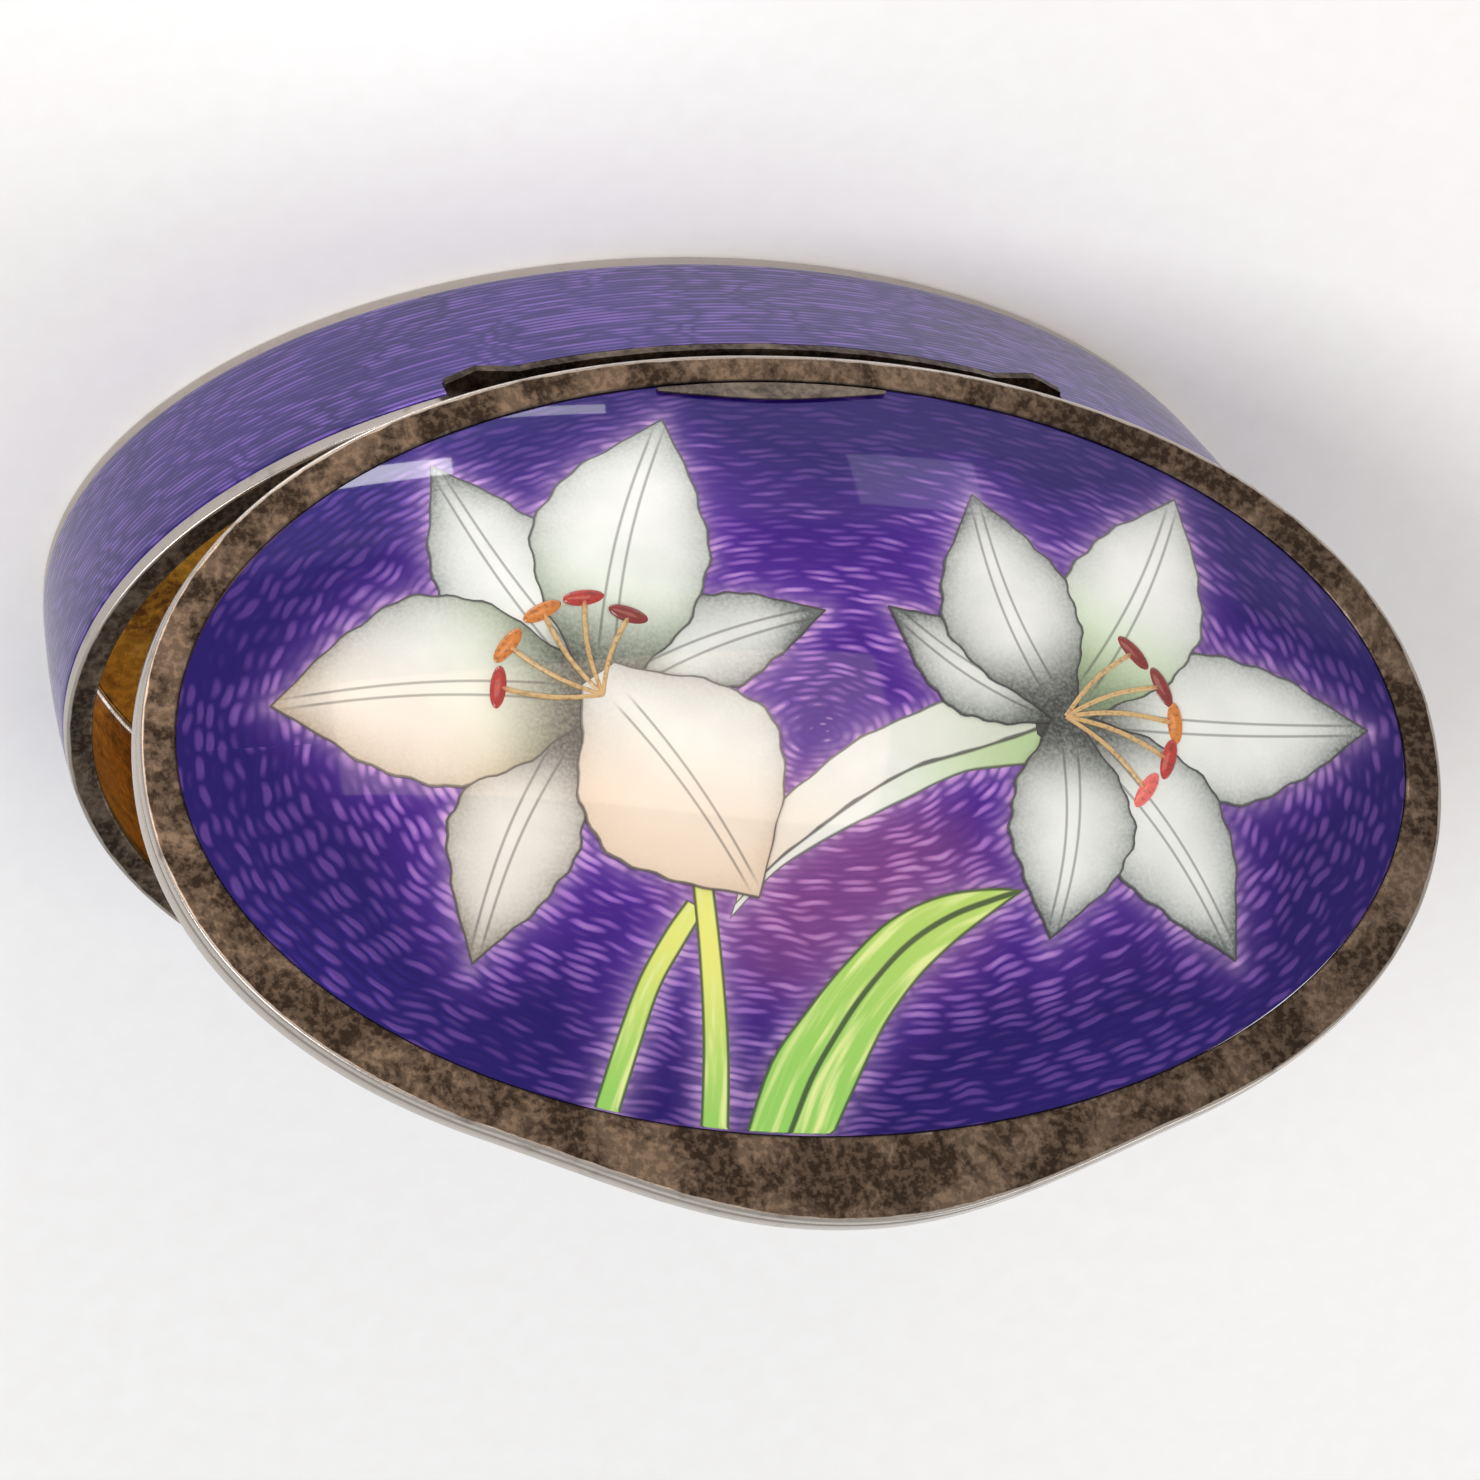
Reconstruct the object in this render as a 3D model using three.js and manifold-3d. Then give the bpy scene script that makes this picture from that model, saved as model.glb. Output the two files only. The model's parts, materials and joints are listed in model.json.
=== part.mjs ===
// Oval enamelled silver pill box with a hinged, domed lid.
// Millimetres, +Z up. The origin is the centre of the flat underside, X runs along the hinge,
// -Y is the front with the thumb lip and +Y is the back with the hinge.
import * as THREE from 'three';
import { mergeVertices } from 'three/addons/utils/BufferGeometryUtils.js';
import Module from 'manifold-3d';

// ---- Body sizes ----
const bodyLength = 49.5; // outside of the mouth rim
const bodyWidth = 30.3;
const bodyHeight = 10; // table to mouth plane
const footInset = 1.1; // how far the wall draws in from the mouth to the foot
const wallCurve = 1.6; // 1 is a straight taper, more keeps the top upright and rounds the foot
const baseRimHeight = 0.8;
const baseRimWidth = 1.05;
const floorThickness = 0.5;
const wallThickness = 0.55; // silver under the wall enamel
const wallEnamelThickness = 0.42;
const mouthRimHeight = 0.7;
const mouthRimWidth = 1;

// ---- Lid sizes ----
const lidSideOverhang = 0.25; // lid past the mouth rim at each end
const lidExtraWidth = 1.3; // lid over the body's width, without the thumb lip
const lidFullness = 2.1; // 2 is an ellipse, more fills the shoulders
const lidSetForward = 0.6; // the closed lid's centre stands this far in front of the body's
const lidHeight = 1.5; // mouth plane to the flat top of the lid frame
const frameThickness = 0.5;
const lipReach = 1.5; // thumb lip beyond the oval
const lipSpread = 0.55; // half the lip's spread round the oval, in radians
const lipOffset = 0.8; // lip peak to the right of the centre line
const bezelWidth = 1.4; // flat frame left round the enamelled panel
const panelShift = 0.35; // panel centre towards the hinge
const domeRise = 3.2;
const domePower = 2.4; // 2 is a plain bowl, more gives a flatter middle and fuller shoulders
const plateThickness = 0.28;
const lidEnamelThickness = 0.38; // at the crown of the dome
const enamelEdge = 0.09; // enamel left at the edge of the panel
const seatWidth = 0.65; // part of the mouth rim that the closed lid rests on

// ---- Hinge sizes ----
const hingeInset = 2.21; // pin axis in from the back of the body
const hingeLength = 21; // all five knuckles
const knuckleRadius = 0.5;
const pinRadius = 0.24;
const pinPlay = 0.05;
const knuckleGap = 0.1;
const recessEnd = 1.5; // cut-out in the back wall past each end of the hinge
const recessDepth = 1.2; // mouth plane down to the top of the bearer
const bearerThickness = 0.4;
const bearerEdgeInset = 1.17; // straight back edge of the bearer, in from the back of the body
const bearerEarRun = 1.1; // sloping part at each end of that edge
const bearerEarDrop = 0.6;
const railWidth = 0.66; // upright rail that carries the body's knuckles
const leafThickness = 0.42;
const swingRoom = 1; // clear length beyond each end of the hinge, past the recess
const restAngle = THREE.MathUtils.degToRad(48); // the lid stands ajar

// ---- Fits and fineness ----
const seam = 0.03; // between pieces that are soldered or seated together
const closedGap = 0.05; // under the closed lid
const edgeBreak = 0.1; // small chamfer on the silver edges
const ovalSteps = 72;
const domeSteps = 8;
const wallSteps = 6;
const tubeSteps = 20;

// ---- Places worked out from the sizes ----
const bodySemiLength = bodyLength / 2;
const bodySemiWidth = bodyWidth / 2;
const skinThickness = wallThickness + wallEnamelThickness + seam;
const lidLength = bodyLength + 2 * lidSideOverhang;
const lidWidth = bodyWidth + lidExtraWidth;
const panelLength = lidLength - 2 * bezelWidth;
const panelWidth = lidWidth - 2 * bezelWidth;
const lidUnderside = bodyHeight + lidHeight - frameThickness;
const hingeY = bodySemiWidth - hingeInset;
const hingeZ = lidUnderside - seam - knuckleRadius; // the knuckles tuck in under the lid frame
const recessLength = hingeLength + 2 * recessEnd;
const recessFloor = bodyHeight - recessDepth;
const knuckleLength = (hingeLength - 4 * knuckleGap) / 5;
const panelY = panelShift - lidSetForward;
const farAway = bodyLength; // larger than any cut needs

// ---- Finishes ----
const finishes = {
  patina: { color: 0x6b5c4f, roughness: 0.42, metalness: 1 },
  silver: { color: 0xb9b2a8, roughness: 0.3, metalness: 1 },
  gilt: { color: 0x9a6a22, roughness: 0.35, metalness: 1 },
  wallEnamel: { color: 0x4a3a9a, roughness: 0.15, metalness: 0.4 },
  lidEnamel: { color: 0x3a2390, roughness: 0.1, metalness: 0.4 },
};

const wasm = await Module();
wasm.setup();

function toSolid(geometry) {
  geometry.deleteAttribute('normal');
  geometry.deleteAttribute('uv');
  const merged = mergeVertices(geometry, 1e-5);
  const mesh = new wasm.Mesh({
    numProp: 3,
    vertProperties: merged.attributes.position.array,
    triVerts: Uint32Array.from(merged.index.array),
  });
  return new wasm.Manifold(mesh);
}

function toGeometry(solid) {
  const mesh = solid.getMesh();
  const geometry = new THREE.BufferGeometry();
  geometry.setAttribute('position', new THREE.BufferAttribute(mesh.vertProperties, 3));
  geometry.setIndex(new THREE.BufferAttribute(mesh.triVerts, 1));
  geometry.computeVertexNormals();
  return geometry;
}

// A box from its lowest corner to its highest one.
function block(low, high) {
  const size = high.map((value, axis) => value - low[axis]);
  const geometry = new THREE.BoxGeometry(...size);
  geometry.translate(...low.map((value, axis) => value + size[axis] / 2));
  return toSolid(geometry);
}

function signedPower(value, power) {
  return Math.sign(value) * Math.abs(value) ** power;
}

function ovalPoints(semiLength, semiWidth, centreY = 0, fullness = 2) {
  const points = [];
  for (let step = 0; step < ovalSteps; step += 1) {
    const angle = (2 * Math.PI * step) / ovalSteps;
    const x = semiLength * signedPower(Math.cos(angle), 2 / fullness);
    const y = centreY + semiWidth * signedPower(Math.sin(angle), 2 / fullness);
    points.push(new THREE.Vector2(x, y));
  }
  return points;
}

// The lid's outline: a full oval that swells into the thumb lip at the front.
function lidOutline(inset = 0) {
  const semiLength = lidLength / 2 - inset;
  const semiWidth = lidWidth / 2 - inset;
  const points = ovalPoints(semiLength, semiWidth, -lidSetForward, lidFullness);
  const peak = lipOffset / semiLength;
  points.forEach((point, step) => {
    const angle = (2 * Math.PI * step) / ovalSteps - 1.5 * Math.PI - peak;
    if (Math.abs(angle) < lipSpread) {
      point.y -= lipReach * (0.5 + 0.5 * Math.cos((Math.PI * angle) / lipSpread));
    }
  });
  return points;
}

// A flat plate between two heights, with an optional opening and broken edges.
function flatPlate(outline, opening, low, high, bevel = 0) {
  const shape = new THREE.Shape(outline);
  if (opening) shape.holes.push(new THREE.Path(opening));
  const geometry = new THREE.ExtrudeGeometry(shape, {
    depth: high - low - 2 * bevel,
    bevelEnabled: bevel > 0,
    bevelThickness: bevel,
    bevelSize: bevel,
    bevelOffset: -bevel,
    bevelSegments: 1,
  });
  geometry.translate(0, 0, low + bevel);
  return toSolid(geometry);
}

// How far the outer face of the wall stands in from the mouth outline at a height.
function wallInset(z) {
  const depth = (bodyHeight - z) / bodyHeight;
  return footInset * depth ** wallCurve;
}

// A wall between two distances behind the body's outer face, from one height to another.
function ovalWall(outerDepth, innerDepth, low, high) {
  const heights = [];
  for (let step = 0; step <= wallSteps; step += 1) {
    heights.push(low + ((high - low) * step) / wallSteps);
  }
  const outer = heights.map((z) => new THREE.Vector2(bodySemiLength - outerDepth - wallInset(z), z));
  const inner = heights.map((z) => new THREE.Vector2(bodySemiLength - innerDepth - wallInset(z), z));
  const section = [...outer, ...inner.reverse(), outer[0]];
  const geometry = new THREE.LatheGeometry(section, ovalSteps);
  geometry.rotateX(Math.PI / 2);
  const position = geometry.attributes.position;
  for (let index = 0; index < position.count; index += 1) {
    const reach = Math.hypot(position.getX(index), position.getY(index));
    const narrowing = (reach - bodySemiLength + bodySemiWidth) / reach;
    position.setY(index, position.getY(index) * narrowing);
  }
  return toSolid(geometry);
}

// A domed oval sheet that fills the panel opening of the lid frame.
function domedSheet(lowEdge, lowRise, highEdge, highRise) {
  const semiLength = panelLength / 2;
  const radii = [];
  for (let step = 0; step <= domeSteps; step += 1) {
    radii.push(Math.sin((Math.PI / 2) * (step / domeSteps)));
  }
  const dome = (edge, rise) =>
    radii.map((r) => new THREE.Vector2(semiLength * r, edge + rise * (1 - r ** domePower)));
  const section = [...dome(lowEdge, lowRise), ...dome(highEdge, highRise).reverse()];
  const geometry = new THREE.LatheGeometry(section, ovalSteps);
  geometry.rotateX(Math.PI / 2);
  geometry.scale(1, panelWidth / panelLength, 1);
  geometry.translate(0, panelY, 0);
  return geometry;
}

// A rod or tube along X, centred on the hinge axis.
function hingeTube(centreX, length, radius, bore = 0) {
  const half = length / 2;
  const section = [
    new THREE.Vector2(bore, -half),
    new THREE.Vector2(radius, -half),
    new THREE.Vector2(radius, half),
    new THREE.Vector2(bore, half),
  ];
  if (bore > 0) section.push(section[0]);
  const geometry = new THREE.LatheGeometry(section, tubeSteps);
  geometry.rotateZ(-Math.PI / 2);
  geometry.translate(centreX, hingeY, hingeZ);
  return geometry;
}

function knuckleCentre(place) {
  return place * (knuckleLength + knuckleGap);
}

function knuckle(place) {
  return hingeTube(knuckleCentre(place), knuckleLength, knuckleRadius, pinRadius + pinPlay);
}

// The bed that holds the knuckles, cut from a hinge leaf.
function knuckleBed() {
  return toSolid(hingeTube(0, farAway, knuckleRadius + seam));
}

// The cut-out in the back wall, down to the underside of the bearer.
function recess() {
  const half = recessLength / 2;
  const low = [-half, 0, recessFloor - bearerThickness - seam];
  return block(low, [half, farAway, farAway]);
}

function basePlate() {
  const depth = wallInset(0) + baseRimWidth + seam;
  const outline = ovalPoints(bodySemiLength - depth, bodySemiWidth - depth);
  return toGeometry(flatPlate(outline, null, 0, floorThickness));
}

function baseRim() {
  const outer = wallInset(0);
  const inner = outer + baseRimWidth;
  const outline = ovalPoints(bodySemiLength - outer, bodySemiWidth - outer);
  const opening = ovalPoints(bodySemiLength - inner, bodySemiWidth - inner);
  return toGeometry(flatPlate(outline, opening, 0, baseRimHeight, edgeBreak));
}

function wallPart(outerDepth, innerDepth) {
  const low = baseRimHeight + seam;
  const high = bodyHeight - mouthRimHeight - seam;
  return toGeometry(ovalWall(outerDepth, innerDepth, low, high).subtract(recess()));
}

function mouthRim() {
  const outline = ovalPoints(bodySemiLength, bodySemiWidth);
  const opening = ovalPoints(bodySemiLength - mouthRimWidth, bodySemiWidth - mouthRimWidth);
  const ring = flatPlate(outline, opening, bodyHeight - mouthRimHeight, bodyHeight, edgeBreak);
  return toGeometry(ring.subtract(recess()));
}

// Straight ledge across the back recess, with the upright rail and the body knuckles' beds.
function hingeBearer() {
  const low = recessFloor - bearerThickness;
  const half = recessLength / 2 - seam;
  const railFront = hingeY - knuckleRadius;
  const railTop = hingeZ - knuckleRadius - knuckleGap;
  const inset = wallInset(low);
  const oval = ovalPoints(bodySemiLength - inset, bodySemiWidth - inset);
  const ledge = flatPlate(oval, null, low, recessFloor)
    .intersect(block([-half, railFront, 0], [half, farAway, farAway]));
  const edgeHalf = half - bearerEarRun;
  const edgeY = bodySemiWidth - bearerEdgeInset;
  const tailY = edgeY - bearerEarDrop;
  const straight = flatPlate([
    new THREE.Vector2(-half, railFront),
    new THREE.Vector2(half, railFront),
    new THREE.Vector2(half, tailY),
    new THREE.Vector2(edgeHalf, edgeY),
    new THREE.Vector2(-edgeHalf, edgeY),
    new THREE.Vector2(-half, tailY),
  ], null, low, recessFloor);
  const rail = block([-half, railFront, low], [half, railFront + railWidth, railTop]);
  let bearer = ledge.add(straight).add(rail);
  for (const place of [-2, 0, 2]) {
    const middle = knuckleCentre(place);
    const reach = knuckleLength / 2;
    bearer = bearer.add(block(
      [middle - reach, railFront, low],
      [middle + reach, railFront + railWidth, hingeZ],
    ));
  }
  return toGeometry(bearer.subtract(knuckleBed()));
}

function hingePin() {
  return hingeTube(0, hingeLength, pinRadius);
}

function lidFrame() {
  const opening = ovalPoints(panelLength / 2 + seam, panelWidth / 2 + seam, panelY);
  const high = bodyHeight + lidHeight;
  return toGeometry(flatPlate(lidOutline(), opening, lidUnderside, high, edgeBreak));
}

// Flange under the lid frame that rests on the mouth rim. It stops short of the hinge, and of
// the pin's line, so that no part of it swings down into the rim.
function lidSeatBand() {
  const opening = ovalPoints(bodySemiLength - seatWidth, bodySemiWidth - seatWidth);
  const band = flatPlate(lidOutline(), opening, bodyHeight + closedGap, lidUnderside - seam);
  const half = recessLength / 2 + swingRoom;
  const overRecess = block([-half, 0, 0], [half, farAway, farAway]);
  const behindPin = block([-farAway, hingeY, 0], [farAway, farAway, farAway]);
  return toGeometry(band.subtract(overRecess).subtract(behindPin));
}

function lidPlate() {
  const low = lidUnderside + seam;
  const rise = domeRise - lidEnamelThickness + enamelEdge;
  return domedSheet(low, rise, low + plateThickness, rise);
}

function lidEnamel() {
  const low = lidUnderside + plateThickness + 2 * seam;
  const rise = domeRise - lidEnamelThickness + enamelEdge;
  return domedSheet(low, rise, low + enamelEdge, domeRise);
}

// Strip under the lid frame, behind the knuckles, with fingers to the lid's two knuckles.
function lidHingeLeaf() {
  const half = hingeLength / 2;
  const high = lidUnderside - seam;
  const low = high - leafThickness;
  const front = hingeY + knuckleRadius + knuckleGap;
  let leaf = block([-half, front, low], [half, farAway, high]);
  for (const place of [-1, 1]) {
    const middle = knuckleCentre(place);
    const reach = knuckleLength / 2;
    leaf = leaf.add(block([middle - reach, hingeY, low], [middle + reach, farAway, high]));
  }
  const underFrame = flatPlate(lidOutline(3 * edgeBreak), null, low, high);
  return toGeometry(leaf.intersect(underFrame).subtract(knuckleBed()));
}

function piece(name, geometry, finish) {
  geometry.computeVertexNormals();
  const mesh = new THREE.Mesh(geometry, new THREE.MeshStandardMaterial(finishes[finish]));
  mesh.name = name;
  return mesh;
}

const body = new THREE.Group();
body.add(
  piece('base_plate', basePlate(), 'silver'),
  piece('base_rim', baseRim(), 'silver'),
  piece('body_wall', wallPart(wallEnamelThickness + seam, skinThickness), 'gilt'),
  piece('wall_enamel', wallPart(0, wallEnamelThickness), 'wallEnamel'),
  piece('mouth_rim', mouthRim(), 'patina'),
  piece('hinge_bearer', hingeBearer(), 'patina'),
  piece('body_knuckle_left', knuckle(-2), 'silver'),
  piece('body_knuckle_centre', knuckle(0), 'silver'),
  piece('body_knuckle_right', knuckle(2), 'silver'),
  piece('hinge_pin', hingePin(), 'silver'),
);

// The lid is modelled closed, then turned open about the pin.
const closedLid = new THREE.Group();
closedLid.position.set(0, -hingeY, -hingeZ);
closedLid.add(
  piece('lid_frame', lidFrame(), 'patina'),
  piece('lid_seat_band', lidSeatBand(), 'silver'),
  piece('lid_plate', lidPlate(), 'gilt'),
  piece('lid_enamel', lidEnamel(), 'lidEnamel'),
  piece('lid_hinge_leaf', lidHingeLeaf(), 'patina'),
  piece('lid_knuckle_left', knuckle(-1), 'silver'),
  piece('lid_knuckle_right', knuckle(1), 'silver'),
);

const lid = new THREE.Group();
lid.position.set(0, hingeY, hingeZ);
lid.rotation.x = -restAngle;
lid.add(closedLid);

const pillBox = new THREE.Group();
pillBox.add(body, lid);

export default pillBox;
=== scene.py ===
"""Oval silver pill box with violet enamel and painted lilies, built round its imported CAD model.

The oval rings, the two domes and the stamens come from Geometry Nodes. The painted petals,
stems and leaf are thin slabs that follow the dome of the lid. The hinge is the CAD model's own,
with finishes added. The lid's pieces are made with the lid closed and are then turned open.
"""
import json
import math
from typing import NamedTuple

import bmesh
import bpy
from mathutils import Euler, Matrix, Quaternion, Vector, kdtree


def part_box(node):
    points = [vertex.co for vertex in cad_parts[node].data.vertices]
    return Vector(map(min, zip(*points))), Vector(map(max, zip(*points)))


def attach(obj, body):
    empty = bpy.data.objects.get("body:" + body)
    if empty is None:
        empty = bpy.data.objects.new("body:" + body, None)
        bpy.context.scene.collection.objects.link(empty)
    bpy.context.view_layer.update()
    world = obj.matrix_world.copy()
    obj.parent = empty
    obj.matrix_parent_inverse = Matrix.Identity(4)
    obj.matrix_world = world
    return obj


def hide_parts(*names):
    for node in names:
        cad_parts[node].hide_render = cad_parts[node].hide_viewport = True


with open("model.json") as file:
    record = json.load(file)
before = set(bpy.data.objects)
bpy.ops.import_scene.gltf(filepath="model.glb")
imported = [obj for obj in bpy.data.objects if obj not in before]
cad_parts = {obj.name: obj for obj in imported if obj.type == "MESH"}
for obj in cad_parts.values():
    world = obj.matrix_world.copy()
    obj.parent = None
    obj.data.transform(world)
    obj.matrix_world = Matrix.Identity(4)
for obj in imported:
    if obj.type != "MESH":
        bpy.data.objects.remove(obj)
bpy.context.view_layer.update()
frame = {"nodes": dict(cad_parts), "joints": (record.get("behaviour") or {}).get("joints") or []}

bl_info = {
    "name": "Enamelled Pill Box",
    "version": (1, 0, 0),
    "blender": (4, 5, 0),
    "location": "3D View > Sidebar > Pill Box",
    "description": "Builds an oval pill box with a domed, painted enamel lid",
    "category": "Object",
}

MM = 0.001

# ---- Places read from the frame ----
JOINT = frame["joints"][0]
HINGE = Vector(JOINT["pos_m"])
CLOSED_ANGLE = math.radians(JOINT["range_deg"][0])
OPENING = (
    Matrix.Translation(HINGE)
    @ Matrix.Rotation(-CLOSED_ANGLE, 4, Vector(JOINT["axis"]))
    @ Matrix.Translation(-HINGE)
)
CLOSING = OPENING.inverted()


def closed_box(node):
    """Lowest and highest corner of a lid node with the lid closed."""
    corners = [CLOSING @ vertex.co for vertex in frame["nodes"][node].data.vertices]
    low = Vector([min(corner[axis] for corner in corners) for axis in range(3)])
    high = Vector([max(corner[axis] for corner in corners) for axis in range(3)])
    return low, high


MOUTH_LOW, MOUTH_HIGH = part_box("mouth_rim")
WALL_LOW, WALL_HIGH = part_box("wall_enamel")
FOOT_LOW, FOOT_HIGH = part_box("base_rim")
FLOOR_LOW, FLOOR_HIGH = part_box("base_plate")
BEARER_LOW, BEARER_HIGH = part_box("hinge_bearer")
FRAME_LOW, FRAME_HIGH = closed_box("lid_frame")
BAND_LOW, BAND_HIGH = closed_box("lid_seat_band")
PLATE_LOW, PLATE_HIGH = closed_box("lid_plate")
PANEL_LOW, PANEL_HIGH = closed_box("lid_enamel")

BODY_HALF_LENGTH = MOUTH_HIGH.x
BODY_HALF_WIDTH = -MOUTH_LOW.y
BODY_HEIGHT = MOUTH_HIGH.z
LID_HALF_LENGTH = FRAME_HIGH.x
PANEL_HALF_LENGTH = PANEL_HIGH.x
PANEL_HALF_WIDTH = (PANEL_HIGH.y - PANEL_LOW.y) / 2
PANEL_Y = (PANEL_HIGH.y + PANEL_LOW.y) / 2
SEAM = 0.03 * MM  # gap between two pieces that fit together
WALL_LINE_PITCH = 0.26 * MM
FOOT_ROUND, BAND_ROUND, WALL_ROUND = 0.22 * MM, 0.18 * MM, 0.16 * MM
BAND_CUT_SPARE = 1.6 * MM  # the lid's band stops this far beside the bearer


def srgb(red, green, blue):
    """Linear colour of a paint named by its red, green and blue from 0 to 255."""
    parts = [value / 255 for value in (red, green, blue)]
    linear = [p / 12.92 if p <= 0.04045 else ((p + 0.055) / 1.055) ** 2.4 for p in parts]
    return (*linear, 1.0)


# ---- What a user may change ----
def length(name, default, description):
    """A length in metres."""
    return bpy.props.FloatProperty(
        name=name, default=default, subtype="DISTANCE", unit="LENGTH", description=description)


def shape(name, default, low, high, description):
    """A plain number that shapes a curve."""
    return bpy.props.FloatProperty(
        name=name, default=default, min=low, max=high, description=description)


def hue(name, red, green, blue, description):
    """A colour, named by its red, green and blue from 0 to 255."""
    return bpy.props.FloatVectorProperty(
        name=name, size=4, subtype="COLOR", default=srgb(red, green, blue), min=0, max=1,
        description=description)


class PillBoxSizes(bpy.types.PropertyGroup):
    """Sizes and curves of the box and the lid."""

    wall_curve: shape("Wall Curve", 1.6, 1, 3,
                      "1 is a straight taper, more rounds the wall in towards the foot")
    foot_inset: length("Foot Inset", BODY_HALF_LENGTH - FOOT_HIGH.x,
                       "How far the wall draws in from the mouth to the foot")
    wall_enamel: length("Wall Enamel", 0.42 * MM, "Thickness of the enamel on the wall")
    wall_silver: length("Wall Silver", 0.55 * MM,
                        "Thickness of the silver under the wall enamel")
    rim_width: length("Rim Width", 1.0 * MM, "Width of the silver rim round the mouth")
    foot_width: length("Foot Width", 1.05 * MM, "Width of the silver rim round the foot")
    lid_forward: length("Lid Forward", 0.6 * MM,
                        "How far the closed lid stands in front of the body")
    lid_fullness: shape("Lid Fullness", 2.1, 1.5, 4,
                        "2 is a true ellipse, more fills the shoulders of the lid")
    lip_reach: length("Lip Reach", 1.5 * MM, "How far the thumb lip stands out")
    lip_spread: bpy.props.FloatProperty(
        name="Lip Spread", default=0.55, subtype="ANGLE", unit="ROTATION",
        description="Half the spread of the thumb lip round the oval")
    lip_offset: length("Lip Offset", 0.8 * MM,
                       "Peak of the thumb lip to the right of the middle")
    seat_width: length("Seat Width", 0.65 * MM,
                       "Part of the mouth rim that the closed lid rests on")
    dome_power: shape("Dome Power", 2.4, 1.5, 6,
                      "2 is a plain bowl, more flattens the middle of the dome")
    enamel_edge: length("Enamel Edge", 0.09 * MM, "Enamel left at the edge of the panel")
    gilt_thickness: length("Gilt Thickness", 0.05 * MM, "Gilt layer on the floor of the box")
    plate_thickness: length("Plate Thickness", 0.28 * MM,
                            "Silver plate under the lid enamel")
    edge_round: length("Edge Round", 0.1 * MM, "Rounding of the silver edges")
    oval_steps: bpy.props.IntProperty(
        name="Oval Steps", default=288, min=32, max=720,
        description="Points round each oval")


class PillBoxFinishes(bpy.types.PropertyGroup):
    """Colours of the enamel, the metal and the paint."""

    deep_violet: hue("Deep Violet", 26, 0, 98,
                     "Enamel where it lies thick, at the edge of the lid")
    bright_violet: hue("Bright Violet", 84, 34, 156, "Enamel in the middle of the lid")
    # Lilac is also the colour of the painted glints on the lid's engraved cuts.
    lilac: hue("Lilac", 208, 172, 220,
               "Enamel where it lies thin, beside the painted flowers")
    wall_violet: hue("Wall Violet", 44, 18, 116, "Enamel on the wall of the box")
    dark_patina: hue("Dark Patina", 50, 40, 32, "Tarnished silver")
    pale_patina: hue("Pale Patina", 118, 104, 90, "Silver with the tarnish rubbed thin")
    bright_silver: hue("Bright Silver", 186, 178, 170,
                       "Silver worn clean along the edges")
    gilt: hue("Gilt", 186, 132, 44, "Gold wash inside the box")
    petal_white: hue("Petal White", 236, 240, 236, "Painted petals in the light")
    petal_grey: hue("Petal Grey", 88, 96, 94, "Painted petals in shade")


# ---- Small helpers for node trees ----
class Field:
    """An output of a node, which plain arithmetic can be done with."""

    def __init__(self, tree, socket):
        self.tree, self.socket = tree, socket

    def maths(self, operation, *others):
        return field(self.tree, "ShaderNodeMath", dict(enumerate((self, *others))),
                     operation=operation)

    def __add__(self, other):
        return self.maths("ADD", other)

    def __sub__(self, other):
        return self.maths("SUBTRACT", other)

    def __rsub__(self, other):
        return field(self.tree, "ShaderNodeMath", {0: other, 1: self}, operation="SUBTRACT")

    def __mul__(self, other):
        return self.maths("MULTIPLY", other)

    def __truediv__(self, other):
        return self.maths("DIVIDE", other)

    def __rtruediv__(self, other):
        return field(self.tree, "ShaderNodeMath", {0: other, 1: self}, operation="DIVIDE")

    def __pow__(self, other):
        return self.maths("POWER", other)

    def __abs__(self):
        return self.maths("ABSOLUTE")

    def clamped(self):
        """The same value, held between 0 and 1 by the node that works it out."""
        self.socket.node.use_clamp = True
        return self

    def smooth(self, start, end, low=0.0, high=1.0):
        """Runs smoothly from low to high as the value goes from start to end."""
        return field(self.tree, "ShaderNodeMapRange", {
            "Value": self, "From Min": start, "From Max": end, "To Min": low,
            "To Max": high}, interpolation_type="SMOOTHSTEP")

    def line(self, half_width, soften):
        """1 on a drawn line, 0 off it, where the value is the distance from the line."""
        return self.smooth(half_width, half_width + soften, 1.0, 0.0)


def wire(tree, target, inputs):
    """Feeds a node's inputs, by name or number, with fields or plain values."""
    for key, value in inputs.items():
        if isinstance(value, Field):
            tree.links.new(value.socket, target.inputs[key])
        else:
            target.inputs[key].default_value = value


def node(tree, kind, inputs=None, **settings):
    """A new node with its settings and its inputs."""
    made = tree.nodes.new(kind)
    for key, value in settings.items():
        setattr(made, key, value)
    wire(tree, made, inputs or {})
    return made


def field(tree, kind, inputs=None, output=0, **settings):
    """One output of a new node."""
    return Field(tree, node(tree, kind, inputs, **settings).outputs[output])


def named_fields(tree, sockets):
    return {socket.name: Field(tree, socket) for socket in sockets}


def noise(tree, place, per_metre, detail=2.0, **more):
    return field(tree, "ShaderNodeTexNoise",
                 {"Vector": place, "Scale": per_metre, "Detail": detail, **more})


def mixed(tree, factor, first, second):
    """One colour turning into another as the factor goes from 0 to 1."""
    return field(tree, "ShaderNodeMix", {0: factor, 6: first, 7: second}, output=2,
                 data_type="RGBA")


def split(tree, vector):
    outputs = node(tree, "ShaderNodeSeparateXYZ", {"Vector": vector}).outputs
    return [Field(tree, output) for output in outputs]


def joined(tree, *values):
    return field(tree, "ShaderNodeCombineXYZ", dict(enumerate(values)))


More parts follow.
